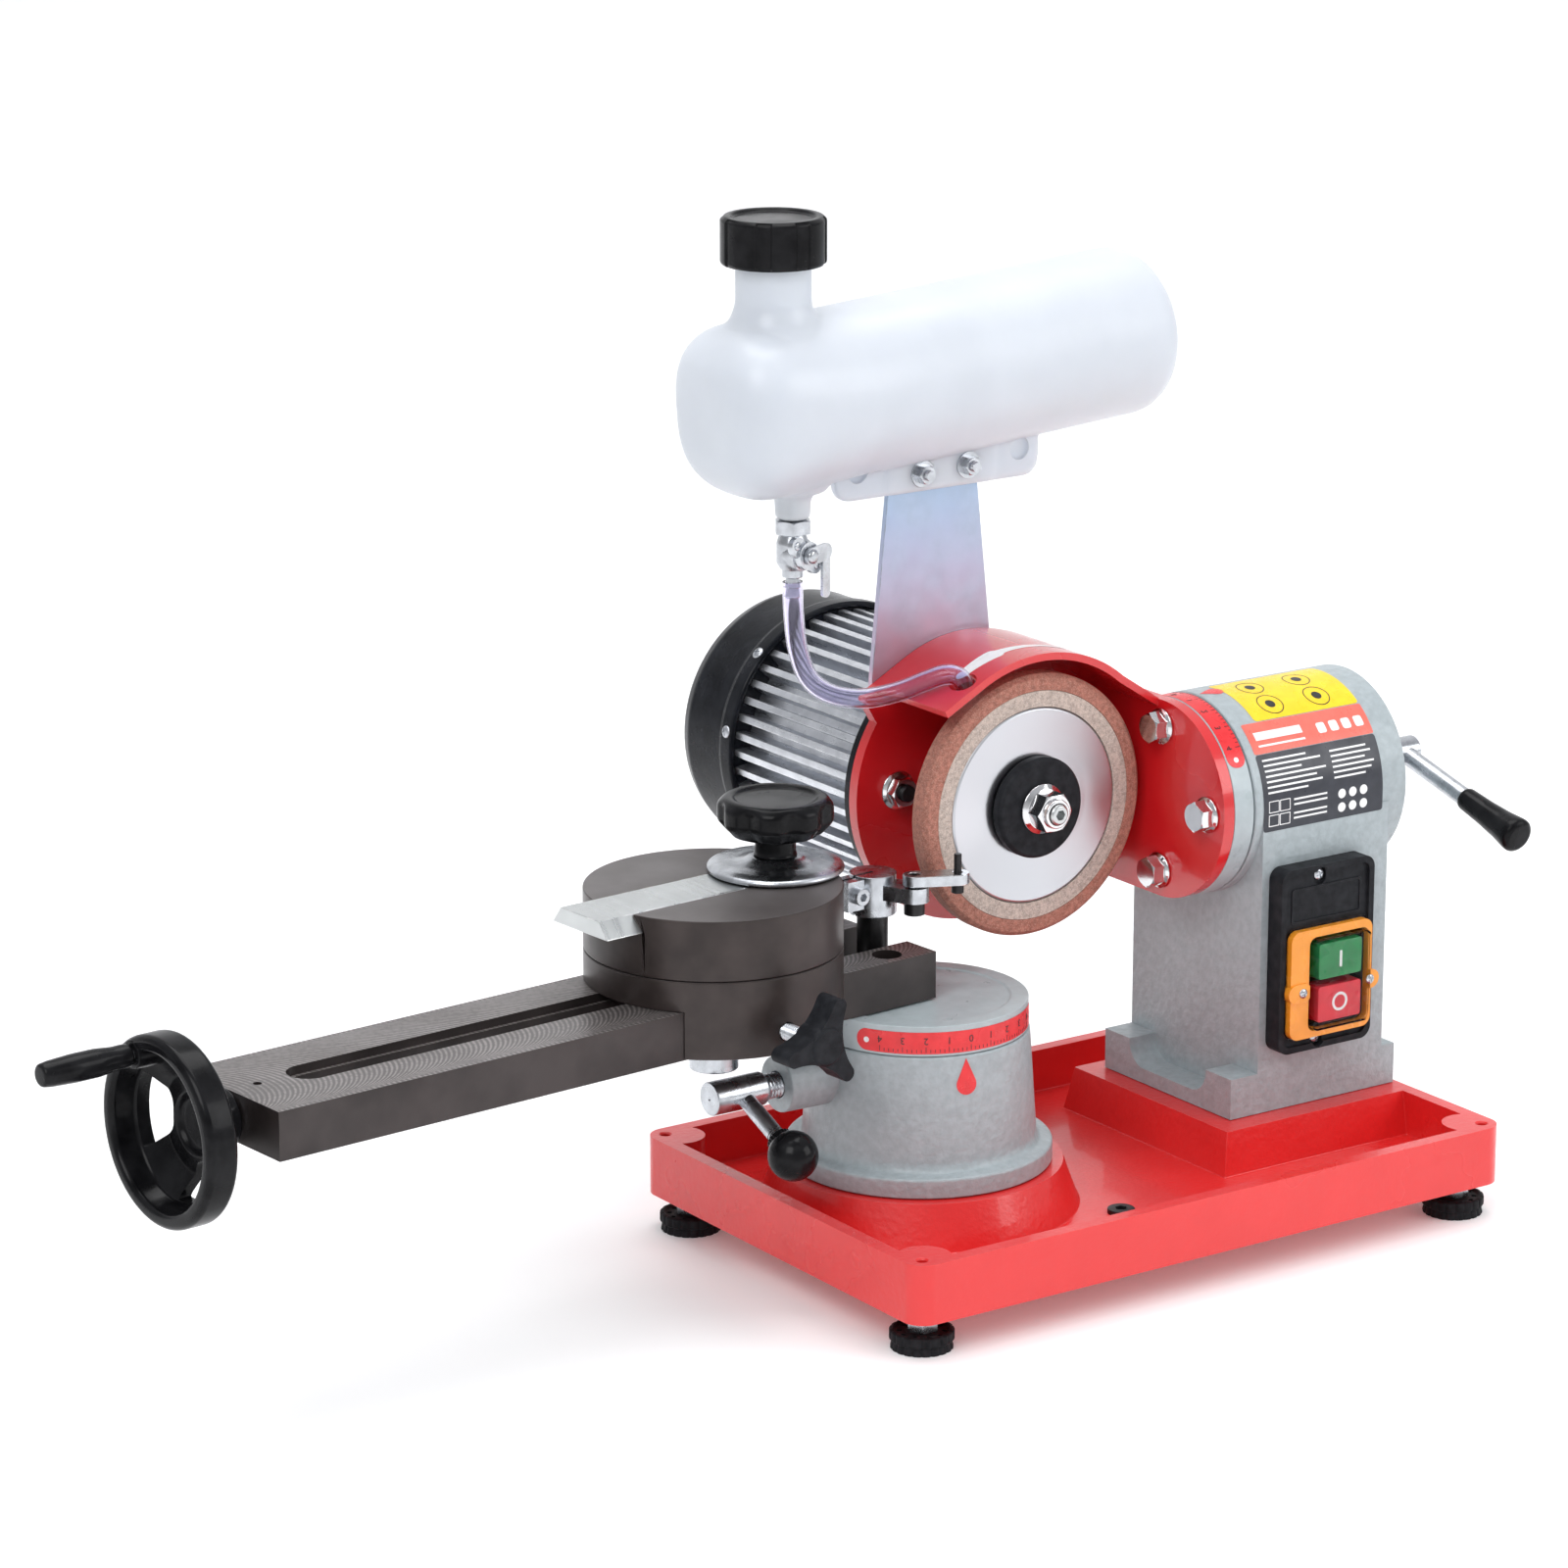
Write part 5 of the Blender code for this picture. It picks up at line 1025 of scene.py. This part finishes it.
def switch():
    front, back = 67.5, 77.2
    plate = prism("Y", rounded((257, 313), (58.5, 148.5), 6), front, back)
    cut(plate, prism("Y", rounded((260, 310), (61.5, 145.5), 4), front - 1, front + 1.6))
    cut(plate, box((275, 60, 70), (307, 80, 113)))
    for z, away in ((143.6, -1.5), (62.9, 4)):
        cut(plate, prism("Y", link_outline((281, z), (281, z + away), 3.6), front - 2, front + 3.4))
    piece("switch_plate_moulding", plate, TRAY, "stand", "black_matt", ["switch_plate"], bevel=0.8, segments=3)
    for name, z in (("top", 143.4), ("bottom", 62.9)):
        cross_screw("switch_screw_" + name, (281, front + 3.1, z), -Y, 3.0, "stand")
    border = prism("Y", rounded((264, 306), (121.5, 138.5), 1.5), front + 1.0, front + 1.8,
                   [rounded((265, 305), (122.5, 137.5), 1)])
    piece("switch_blank_panel", border, TRAY, "stand", "black_matt", bevel=0.2)
    outer, window = rounded((261.5, 310.5), (65.5, 118.5), 5), rounded((272.5, 308.5), (68.5, 114.5), 4)
    bezel = prism("Y", outer, front - 2.5, front + 1.2, [window])
    join(bezel, *[prism("Y", link_outline((x, 88.5), (x + shift, 88.5), 4.6), front - 3.4, front + 1.2) for x,
                  shift in ((269.0, -4.6), (306, 4.0))])
    cut(bezel, prism("Y", window, front - 6, front + 3))
    piece("switch_bezel", bezel, TRAY, "stand", "yellow_moulded", ["switch_frame"], bevel=0.7, segments=3)
    skirt = prism("Y", rounded((260.4, 311.6), (64.4, 119.6), 6), front + 0.2, front + 1.5,
                  [rounded((261.8, 310.2), (65.8, 118.2), 5)])
    piece("switch_skirt", skirt, TRAY, "stand", "clear_moulded", bevel=0.2)
    for name, x in (("left", 268.4), ("right", 309.0)):
        cross_screw("bezel_screw_" + name, (x, front - 3.3, 88.5), -Y, 2.4, "stand")
    x, z, wall, face = (273.1, 307.9), (69.1, 113.9), 0.8, 62.2
    cover = prism("Y", rounded(x, z, 3.5), face, front + 1.2)
    inside = prism("Y", rounded((x[0] + wall, x[1] - wall), (z[0] + wall, z[1] - wall), 3), face + wall, front + 3)
    piece("switch_membrane", cut(cover, inside), TRAY, "stand", "clear_moulded", ["switch_cover"], bevel=0.3)
    for name, low, high, finish in (("start", 93.0, 110.5, "green_moulded"), ("stop", 72.0, 89.5, "red_moulded")):
        node = name + "_button"
        button = prism("Y", rounded((278, 304), (low, high), 1.5), 64.6, 75)
        piece(node + "_cap", button, TRAY, node, finish, [node], bevel=0.5)
        middle = (low + high) / 2
        if name == "start":
            mark = prism("Y", rounded((290.3, 291.7), (middle - 4, middle + 4), 0.4), 64.35, 64.7)
        else:
            mark = prism("Y", circle((291, middle), 4.6, 48), 64.35, 64.7, [circle((291, middle), 3.3, 48)])
        piece(node + "_mark", mark, TRAY, node, "white_print", bevel=0)


# ---- tilting head ----


def scale_ring():
    ring = lathe((0, *BARREL), X, [(47.5, 247.6), (47.5, 236.4), (16.5, 236.4), (16.5, 247.6)], 0.5, 192)
    piece("scale_ring_turned", ring, TRAY, "head", "smooth_grey", ["scale_ring"], bevel=0)

    def on_ring(u, v, w):
        angle = math.pi / 2 + v / 47.6
        radius = 47.62 + w
        return Vector((u, BARREL[0] + radius * math.cos(angle), BARREL[1] + radius * math.sin(angle)))

    def at(angle):
        return math.radians(angle - 90) * 47.6

    strip = prism("Z", rounded((237.0, 247.2), (at(14), at(152)), 4.6), -0.05, 0.05)
    film("ring_scale_strip", strip, on_ring, TRAY, "head", "red_film")
    marks = [box((247.0 - (2.6 if i % 5 == 0 else 1.5), at(84 + 2.8 * i) - 0.14, 0.06),
                 (247.0, at(84 + 2.8 * i) + 0.14, 0.14)) for i in range(-20, 21)]
    film("ring_scale_ticks", merge(*marks), on_ring, TRAY, "head", "black_print")
    figures = [moved(words(str(abs(i)), 4.6, 90), 240.8, at(84 + 14 * i), 0.12) for i in range(-4, 5)]
    figures = merge(*figures)
    film("ring_scale_figures", figures, on_ring, TRAY, "head", "black_print")
    rivet = moved(prism("Z", circle((0, 0), 1.3, 24), 0.06, 0.3), 242, at(147.5))
    film("ring_scale_rivet", rivet, on_ring, TRAY, "head", "white_print")


def bolt_places():
    y, z = BARREL
    return {"top": (y, z + 35), "front": (y - 35, z), "bottom": (y, z - 35), "rear": (y + 35, z)}


def bracket_bolts():
    face = 229.7
    for name, at in bolt_places().items():
        axis = (0, *at)
        head = hexagon(axis, -X, 13, 1.2 - face, 8.2 - face)
        collar = lathe(axis, X, [(0, face), (8.6, face), (8.6, face - 0.8), (7.0, face - 2.0), (0, face - 2.0)], 0.3,
                       64)
        shank = rod(axis, X, 4.0, face - 0.5, face + 15.5, 32)
        node = "bracket_bolt_" + name
        piece(node + "_chromed", join(head, collar, shank), TRAY, "head", "chrome_plate", [node], bevel=0.25)


def head_bracket():
    x, z = SPINDLE
    right, top, bottom = 233.0, BARREL[1] + 47.5, BARREL[1] - 47.5
    ear = [(101, 228), (101.1, 230.4), (101.8, 231.7), (103.5, 232.4), (HOOD_EDGE[0] + 0.2, HOOD_EDGE[1] - 0.5)]
    crown = arc(SPINDLE, HOOD_RADIUS - 0.5, *HOOD_ARC, 64)
    meets = -math.degrees(math.asin((z - bottom - 1) / 66.0))
    outline = ear + crown + [(right, top - 2), (right, bottom + 1)] + arc(SPINDLE, 66, meets, -214, 96)
    plate = prism("Y", outline, 183, 189, [circle(SPINDLE, 16, 64)])
    lean = math.radians(HOOD_ARC[0])
    edge_under = (HOOD_EDGE[0] - HOOD_WALL * math.cos(lean), HOOD_EDGE[1] - HOOD_WALL * math.sin(lean))
    lip = [HOOD_EDGE] + arc(SPINDLE, HOOD_RADIUS, *HOOD_ARC, 64)
    under = arc(SPINDLE, HOOD_RADIUS - HOOD_WALL, HOOD_ARC[1], HOOD_ARC[0], 64) + [edge_under]
    hood = prism("Y", lip + [(right, top - 1.5), (right, top - 5.5)] + under, 129, 184)
    side = arc(BARREL, 47.5, 90, 270, 64)
    join(plate, prism("X", side + [(188.7, bottom), (188.7, top)], 230, 236), hood)
    for at in bolt_places().values():
        cut(plate, rod((0, *at), X, 4.4, 228, 238, 32))
    end, before = Vector(HOSE_ROUTE[-1]), Vector(HOSE_ROUTE[-2])
    cut(plate, rod(end, (end - before).normalized(), HOSE_RADIUS + 1.6, -16, 8, 48))
    piece("head_bracket_casting", plate, TRAY, "head", "head_red", ["head_bracket"], bevel=0.9, segments=3)

    def on_hood(u, v, w):
        angle = math.radians(95) - u / HOOD_RADIUS
        radius = HOOD_RADIUS + 0.12 + w
        return Vector((x + radius * math.cos(angle), v, z + radius * math.sin(angle)))

    arrow = [(30, 141.2), (30, 143.2), (8, 147.0), (-6, 149.0), (-8, 151.0), (-31, 147.5), (-33, 144.5), (-30, 142.0),
             (-7, 141.0),
             (-5, 143.4), (8, 143.2)]
    film("hood_arrow", prism("Z", [tuple(p) for p in eased(arrow, 3.0, True)], -0.05, 0.05), on_hood, TRAY, "head",
         "white_print")
    bolt = (119.3, 0, 183.7)
    nut = join(hexagon(bolt, -Y, 13, -182.0, -176.2),
               lathe(bolt, -Y, [(0, -183), (9.2, -183), (9.2, -182.2), (7.4, -181), (0, -181)], 0.3, 64))
    cut(nut, rod(bolt, -Y, 4.2, -190, -170, 32))
    piece("motor_nut_left", nut, TRAY, "head", "chrome_plate", bevel=0.25)
    stud = threaded(bolt, -Y, 4.0, -184, -173.4, 1.25, 0.6)
    piece("motor_stud_left", stud, TRAY, "head", "oxide_plain", bevel=0)


def tilt_clamp():
    axis = (0, *BARREL)
    spindle = lathe(axis, X, [(0, 385), (7, 385), (7, 368), (6.2, 366), (6.2, 352), (8.6, 350), (8.6, 341),
                              (5, 340.3), (5, 312), (0, 312)], 0.8, 64)
    dip = math.radians(15)
    heading = Vector((0, -math.cos(dip), -math.sin(dip)))
    hub = (378, *BARREL)
    join(spindle, rod(hub, heading, 4.5, 1, 48.2, 48), rod(hub, heading, 3.0, 40, 84, 32))
    piece("tilt_lever_rod", spindle, TRAY, "tilt_lever", "zinc_plate", ["tilt_lever"], bevel=0.5)
    grip = lathe(hub, heading, [
        (0, 89), (6.6, 89), (8.5, 87.4), (8.5, 85), (7.2, 76), (6.2, 64), (5.6, 50), (5.0, 48.5), (3.3, 48.5),
        (3.3, 85), (0, 85),
    ], 1.0, 72)
    piece("tilt_lever_moulding", grip, TRAY, "tilt_lever", "black_gloss", ["tilt_lever_grip"], bevel=0)


# ---- grinding wheel and motor ----


def grinding_wheel():
    low, high = 134.0, 146.0
    tread = lathe(SPINDLE_AT, Y, [(54.6, low), (60.4, low), (62.5, low + 2.1), (62.5, high - 2.1), (60.4, high),
                                  (54.6, high)], 0.5, 224)
    piece("wheel_rim", tread, TRAY, "wheel", "brown_grit", ["abrasive_ring"], bevel=0)
    bond = lathe(SPINDLE_AT, Y, [(46.8, low + 0.3), (54.5, low + 0.3), (54.5, high - 0.3), (46.8, high - 0.3)], 0.2,
                 192)
    piece("wheel_bond", bond, TRAY, "wheel", "pale_grit", bevel=0)
    core = lathe(SPINDLE_AT, Y, [(5.3, low + 0.4), (30, low + 0.4), (45.6, low), (46.6, low + 0.9), (46.6, high),
                                 (5.3, high)], 0.5, 192)
    piece("wheel_disc", core, TRAY, "wheel", "turned_aluminium", ["wheel_core"], bevel=0)
    washer = lathe(SPINDLE_AT, Y, [(5.3, 128.2), (22.6, 128.2), (24, 129.6), (24, 133.7), (5.3, 133.7)], 0.5, 128)
    piece("wheel_flange", washer, TRAY, "wheel", "black_matt", ["wheel_washer"], bevel=0)
    seat = 127.9
    nut = hexagon(SPINDLE_AT, -Y, 17, 2 - seat, 10.5 - seat)
    join(nut, lathe(SPINDLE_AT, Y, [(0, seat), (12, seat), (12, seat - 1), (9.6, seat - 2.6), (0, seat - 2.6)], 0.4,
                    72))
    join(nut, lathe(SPINDLE_AT, Y, [(0, seat - 9), (7.6, seat - 9), (6.8, seat - 12.6), (0, seat - 12.6)], 0.6, 64))
    cut(nut, rod(SPINDLE_AT, Y, 5.4, 90, 140, 48))
    piece("wheel_nut_chromed", nut, TRAY, "wheel", "chrome_plate", ["wheel_nut"], bevel=0.3)
    shaft = lathe(SPINDLE_AT, Y, [(0, 325), (5, 325), (5, 300), (7.5, 300), (7.5, 146.3), (5, 146.3), (5, 114.4),
                                  (4, 113.5), (0, 113.5)], 0.3, 64)
    cut(shaft, lathe(SPINDLE_AT, Y, [(0, 112), (2.6, 112), (2.6, 118.5), (0, 118.5)], 0, 6))
    piece("motor_shaft_turned", shaft, TRAY, "wheel", "bright_ground", ["motor_shaft"], bevel=0)


def motor():
    flange = lathe(SPINDLE_AT, Y, [
        (23, 206), (23, 196), (64, 196), (64, 189.3), (10, 189.3), (10, 195.7), (17.5, 195.7), (17.5, 206),
    ], 0.7, 160)
    piece("motor_flange_casting", flange, TRAY, "head", "black_enamel", ["motor_end_flange"], bevel=0)
    outline, fins = [], 44
    for i in range(fins):
        middle, pitch = 360 * i / fins, 360 / fins
        for radius, turn in ((53.6, -0.26), (62.2, -0.19), (62.2, 0.19), (53.6, 0.26)):
            outline.append(arc(SPINDLE, radius, middle + turn * pitch, middle, 1)[0])
    housing = prism("Y", outline, 196.3, 290, [circle(SPINDLE, 50, 96)])
    piece("motor_fins", housing, TRAY, "head", "fin_aluminium", ["motor_housing"], bevel=0.35, segments=2)
    cover = lathe(SPINDLE_AT, Y, [
        (14, 337), (56, 337), (62, 334), (64.4, 327), (64.4, 299), (66, 297), (66, 288.5), (62.8, 288.5), (62.8, 297),
        (62, 299),
        (62, 329), (56, 335), (14, 335),
    ], 1.4, 192)
    x, z = SPINDLE
    tools = []
    for ring, count, start in ((44, 16, 11.25), (30, 12, 0)):
        for i in range(count):
            angle = math.radians(start + 360 * i / count)
            tools.append(rod((x + ring * math.cos(angle), 0, z + ring * math.sin(angle)), Y, 4.6, 332, 340, 24))
    cut(cover, merge(*tools))
    # A real end shield, made black and carried out to the fins' tips so that the gaps between the fins stay dark:
    # partly painted shade.
    shade_shield = lathe(SPINDLE_AT, Y, [(23, 290.1), (62.3, 290.1), (62.3, 292.2), (23, 292.2)], 0.3, 128)
    piece("motor_end_shield_shade", shade_shield, TRAY, "head", "black_enamel", bevel=0)
    piece("fan_cover_pressing", cover, TRAY, "head", "black_enamel", ["fan_cover"], bevel=0)
    for i, angle in enumerate((45, 135, 171, 225, 315)):
        radial = Vector((math.cos(math.radians(angle)), 0, math.sin(math.radians(angle))))
        at = Vector((x, 292.6, z)) + radial * 65.8
        cross_screw("fan_cover_screw_%d" % i, at, radial, 3.0, "head", "zinc_plate")


# ---- coolant tank, tap and hose ----


def coolant_tank():
    tilt = math.radians(4.0)
    axis = Vector((math.cos(tilt), 0, math.sin(tilt)))
    up, start, length, radius = Vector((-axis.z, 0, axis.x)), Vector((14, TANK_AXIS_Y, 370.6)), 247.6, 39.4
    shape = bmesh.new()
    rings, count, sides = [], 90, 96
    for k in range(count + 1):
        along = length * (0.5 - 0.5 * math.cos(math.pi * k / count))
        left, right = min(1.0, along / 26), min(1.0, (length - along) / 17)
        reach = min(1 - 0.62 * (1 - math.sqrt(max(0.0, 1 - (1 - left) ** 2.2))),
                    1 - 0.5 * (1 - math.sqrt(max(0.0, 1 - (1 - right) ** 2.2))))
        square = 2.0 + 0.9 * max(0.0, 1 - along / 70)
        ring = []
        for i in range(sides):
            angle = 2 * math.pi * i / sides
            c, s = math.cos(angle), math.sin(angle)
            size = radius * reach / (abs(c) ** square + abs(s) ** square) ** (1 / square)
            ring.append(shape.verts.new(start + axis * along + Y * (size * c) + up * (size * s)))
        rings.append(ring)
    bridge(shape, rings)
    shape.faces.new(reversed(rings[0]))
    shape.faces.new(rings[-1])
    bmesh.ops.recalc_face_normals(shape, faces=shape.faces)
    tank = as_object(shape)
    neck_at, spout_at = (51.5, TANK_AXIS_Y, 0), (62, TANK_AXIS_Y, 0)
    neck = lathe(neck_at, Z, [(0, 396), (27, 396), (27, 404), (19.6, 413), (17.2, 420), (17.2, 452), (0, 452)], 2, 96)
    spout = lathe(spout_at, Z, [(0, 352), (20, 352), (18, 338), (15.6, 333.4), (9.2, 331.6), (8.2, 328), (8.2, 320),
                                (0, 320)], 1.5, 96)
    skirt = prism("Y", rounded((84, 200), (324, 350), 9), 183, 189)
    panel = prism("Y", rounded((113, 173), (325.5, 346), 3), 181.8, 184)
    join(tank, neck, spout, skirt, panel)
    blown = tank.modifiers.new("blown", "REMESH")
    blown.mode = "VOXEL"
    blown.voxel_size = 1.25
    soft = tank.modifiers.new("soft", "SMOOTH")
    soft.factor = 0.5
    soft.iterations = 10
    bake(tank)
    for at in ((96, 338), (188, 338)):
        cut(tank, lathe((at[0], 0, at[1]), Y, [(0, 170), (5.6, 170), (5.6, 184.2), (4.4, 185), (0, 185)], 0, 48))
    cut(tank, rod(spout_at, Z, 4.9, 318, 352, 40))
    piece("tank_moulding", tank, TRAY, "head", "milky_blown", ["coolant_tank"], bevel=0, smooth=60)
    for name, x, z in (("left", 131.5, 333), ("right", 157.6, 334)):
        at = (x, 0, z)
        plate = lathe(at, -Y, [(0, -182), (6.4, -182), (6.4, -181), (0, -181)], 0.2, 48)
        nut = hexagon(at, -Y, 8, -181, -176.6)
        piece("tank_nut_" + name, merge(plate, nut), TRAY, "head", "zinc_plate", bevel=0.2)
        piece("tank_stud_" + name, threaded(at, -Y, 2.5, -193, -174.6, 0.8, 0.4), TRAY, "head", "zinc_plate", bevel=0)

    def grips(angle, radius, along):
        return 1 - 0.035 * (math.cos(8 * angle) > 0.35) if radius > 22.5 else 1

    cap = lathe(neck_at, Z, [
        (0, 458.6), (18.5, 458.6), (19.6, 460), (22.2, 460), (24, 458.4), (24, 439.2), (23, 438), (17.7, 438),
        (17.7, 453), (0, 453),
    ], 0.7, 192, grips)
    piece("tank_cap_moulding", cap, TRAY, "tank_cap", "black_gloss", ["tank_cap"], bevel=0, smooth=28)


def tank_bracket():
    outline = [(109, 206), (178, 206), (178, 238), (167, 337.5), (119, 337.5), (109, 238)]
    sheet = prism("Y", [tuple(p) for p in eased(outline, 3, True)], 189.3, 192.3)
    cut(sheet, rod(SPINDLE_AT, Y, 65.2, 187, 195, 128))
    piece("tank_bracket_sheet", sheet, TRAY, "head", "galvanised_sheet", ["tank_bracket"], bevel=0.35)


def tap():
    at = (62, TANK_AXIS_Y, 0)
    body = hexagon(at, Z, 15.4, 313.5, 319.7)
    join(
        body,
        lathe(at, Z, [(0, 320.5), (4.6, 320.5), (4.6, 342), (0, 342)], 0.4, 40),
        lathe(at, Z, [(0, 296.5), (5.6, 296.5), (7.4, 299.5), (7.4, 309), (5.8, 313.8), (0, 313.8)], 0.8, 64),
        lathe(at, Z, [(0, 283), (3.0, 283), (3.4, 284), (2.9, 288), (3.5, 288.2), (3.0, 292.4), (4.8, 293),
                      (4.8, 297), (0, 297)], 0.3, 40),
    )
    piece("tap_casting", body, TRAY, "head", "zinc_plate", ["tap_body"], bevel=0.4)
    boss = lathe((0, 0, 0), -Y, [(0, 0), (7.6, 0), (7.6, 6.4), (0, 6.4)], 0.5, 64)
    join(boss, prism("Y", link_outline((-6.2, 5.0), (6.2, -5.0), 4.4), -8.8, -6.0),
         rod((0, 0, 0), -Y, 6.6, 6, 10.0, 56))
    piece("tap_flange", boss, TAP, "head", "zinc_plate", bevel=0.5)
    for name, x, z in (("upper", -6.8, 5.5), ("lower", 6.8, -5.5)):
        cross_screw("tap_screw_" + name, (x, -8.8, z), -Y, 2.0, "head", "zinc_plate", TAP)
    lever = prism("Y", link_outline((0, 0), (9.6, 0.6), 4.0), -12.0, -10.4)
    join(lever, prism("Y", rounded((7.4, 12.4), (-20.8, 3.6), 2.2), -11.95, -10.45))
    piece("tap_lever_plate", lever, TAP, "tap_lever", "zinc_plate", ["tap_lever"], bevel=0.35)
    rivet = lathe((0, 0, 0), -Y, [(0, 9.6), (3.4, 9.6), (3.4, 12.6), (2.4, 13.4), (0, 13.6)], 0.5, 48)
    piece("tap_rivet", rivet, TAP, "tap_lever", "zinc_plate", bevel=0)


def smooth_route(points, steps):
    """Points on a Catmull-Rom curve through the given ones."""
    ends = [points[0] * 2 - points[1]] + points + [points[-1] * 2 - points[-2]]
    route = []
    for before, start, end, after in zip(ends, ends[1:], ends[2:], ends[3:]):
        for i in range(steps):
            t = i / steps
            cubic = (start - end) * 1.5 + (after - before) * 0.5
            square = before - start * 2.5 + end * 2 - after * 0.5
            route.append(start + (end - before) * 0.5 * t + square * t * t + cubic * t * t * t)
    return route + [points[-1]]


def coolant_hose():
    """A clear tube with a wall, from the tap's barb into the guard."""
    route = smooth_route([Vector(p) for p in HOSE_ROUTE], 6)
    sides = 40
    shape = bmesh.new()
    walls = []
    across = X
    for wall in (HOSE_RADIUS, HOSE_RADIUS - 1.2):
        rings = []
        for i, place in enumerate(route):
            tangent = (route[min(i + 1, len(route) - 1)] - route[max(i - 1, 0)]).normalized()
            across = (across - tangent * across.dot(tangent)).normalized()
            other = tangent.cross(across)
            ring = []
            for j in range(sides):
                angle = 2 * math.pi * j / sides
                ring.append(shape.verts.new(place + (across * math.cos(angle) + other * math.sin(angle)) * wall))
            rings.append(ring)
        across = X
        walls.append(rings)
    for rings in walls:
        bridge(shape, rings)
    for end in (0, -1):
        for i in range(sides):
            j = (i + 1) % sides
            shape.faces.new((walls[0][end][i], walls[0][end][j], walls[1][end][j], walls[1][end][i]))
    bmesh.ops.recalc_face_normals(shape, faces=shape.faces)
    hose = piece("hose_tube", as_object(shape), TRAY, "head", "clear_hose", ["coolant_hose"], bevel=0, smooth=60)


# ---- CAD solids that stay: inside the machine, with their own finishes ----


def inner_parts():
    kept = {
        "rotor_core": "steel_laminations", "stator_core": "steel_laminations", "front_bearing": "bright_ground",
        "rear_bearing": "bright_ground", "cooling_fan": "black_matt", "tilt_shaft": "bright_ground",
        "switch_body": "black_matt",
    }
    for node, finish in kept.items():
        for slot in frame["nodes"][node].material_slots:
            slot.material = LOOKS[finish][0]


# ---- floor, light and camera ----


def studio():
    floor_mesh = bpy.data.meshes.new("floor")
    half, back, high, bend = 6.0, 3.0, 5.0, 1.2
    turns = [math.pi / 2 * i / 12 for i in range(13)]
    sweep = [(back - bend + bend * math.sin(a), bend - bend * math.cos(a)) for a in turns]
    side = [(-half, 0.0), *sweep, (back, high)]
    shape = bmesh.new()
    rows = [[shape.verts.new((x, y, z)) for x in (-half, half)] for y, z in side]
    for one, two in zip(rows, rows[1:]):
        shape.faces.new((one[0], one[1], two[1], two[0]))
    shape.to_mesh(floor_mesh)
    shape.free()
    floor_mesh.shade_smooth()
    floor = bpy.data.objects.new("floor", floor_mesh)
    floor.matrix_world = Matrix.Rotation(math.radians(-34.5), 4, "Z")
    LINKED.link(floor)
    paper = bpy.data.materials.new("paper")
    paper.use_nodes = True
    shader = paper.node_tree.nodes["Principled BSDF"]
    shader.inputs["Base Color"].default_value = (0.96, 0.96, 0.96, 1)
    shader.inputs["Roughness"].default_value = 0.85
    shader.inputs["Emission Color"].default_value = (1, 1, 1, 1)
    shader.inputs["Emission Strength"].default_value = 0.10
    floor_mesh.materials.append(paper)

    def lamp(name, place, aim, size, watts, tall=None):
        light = bpy.data.lights.new(name, "AREA")
        light.shape = "RECTANGLE"
        light.size = size
        light.size_y = tall or size
        light.energy = watts
        obj = bpy.data.objects.new(name, light)
        obj.location = place
        obj.rotation_euler = (Vector(aim) - Vector(place)).to_track_quat("-Z", "Y").to_euler()
        LINKED.link(obj)

    lamp("key", (-1.6, -1.2, 1.9), (0, 0, 0.2), 1.3, 24)
    lamp("fill", (1.5, -1.7, 1.1), (0, 0, 0.2), 1.2, 15)
    lamp("top", (0.2, 0.3, 2.2), (0, 0, 0.1), 1.6, 26)
    world = bpy.data.worlds.new("studio")
    bpy.context.scene.world = world
    world.use_nodes = True
    tree = world.node_tree
    background = tree.nodes["Background"]
    where = tree.nodes.new("ShaderNodeTexCoord")
    split = tree.nodes.new("ShaderNodeSeparateXYZ")
    shade = tree.nodes.new("ShaderNodeValToRGB")
    stops = shade.color_ramp.elements
    stops[0].position, stops[0].color = 0.0, (0.80, 0.80, 0.81, 1)
    stops[1].position, stops[1].color = 1.0, (0.95, 0.96, 1.0, 1)
    middle = stops.new(0.35)
    middle.color = (0.42, 0.43, 0.45, 1)
    tree.links.new(where.outputs["Generated"], split.inputs["Vector"])
    tree.links.new(split.outputs["Z"], shade.inputs["Fac"])
    tree.links.new(shade.outputs["Color"], background.inputs["Color"])
    background.inputs["Strength"].default_value = 0.85
    bpy.context.scene.view_settings.view_transform = "Standard"

    camera = bpy.data.cameras.new("camera")
    camera.lens = 126.74
    camera.sensor_width = 36.0
    view = bpy.data.objects.new("camera", camera)
    view.location = (-1.34362, -1.99647, 0.89091)
    view.rotation_euler = Vector((0.546013, 0.793962, -0.267385)).to_track_quat("-Z", "Y").to_euler()
    LINKED.link(view)
    bpy.context.scene.camera = view


studio()
coolant_hose()
base_tray()
feet()
swivel_base()
turntable()
base_lock()
table_beam()
leadscrew()
handwheel()
carriage()
blade_clamp()
star_knob()
tooth_stop()
column()
barrel_label()
switch()
scale_ring()
bracket_bolts()
head_bracket()
tilt_clamp()
grinding_wheel()
motor()
coolant_tank()
tank_bracket()
tap()
inner_parts()
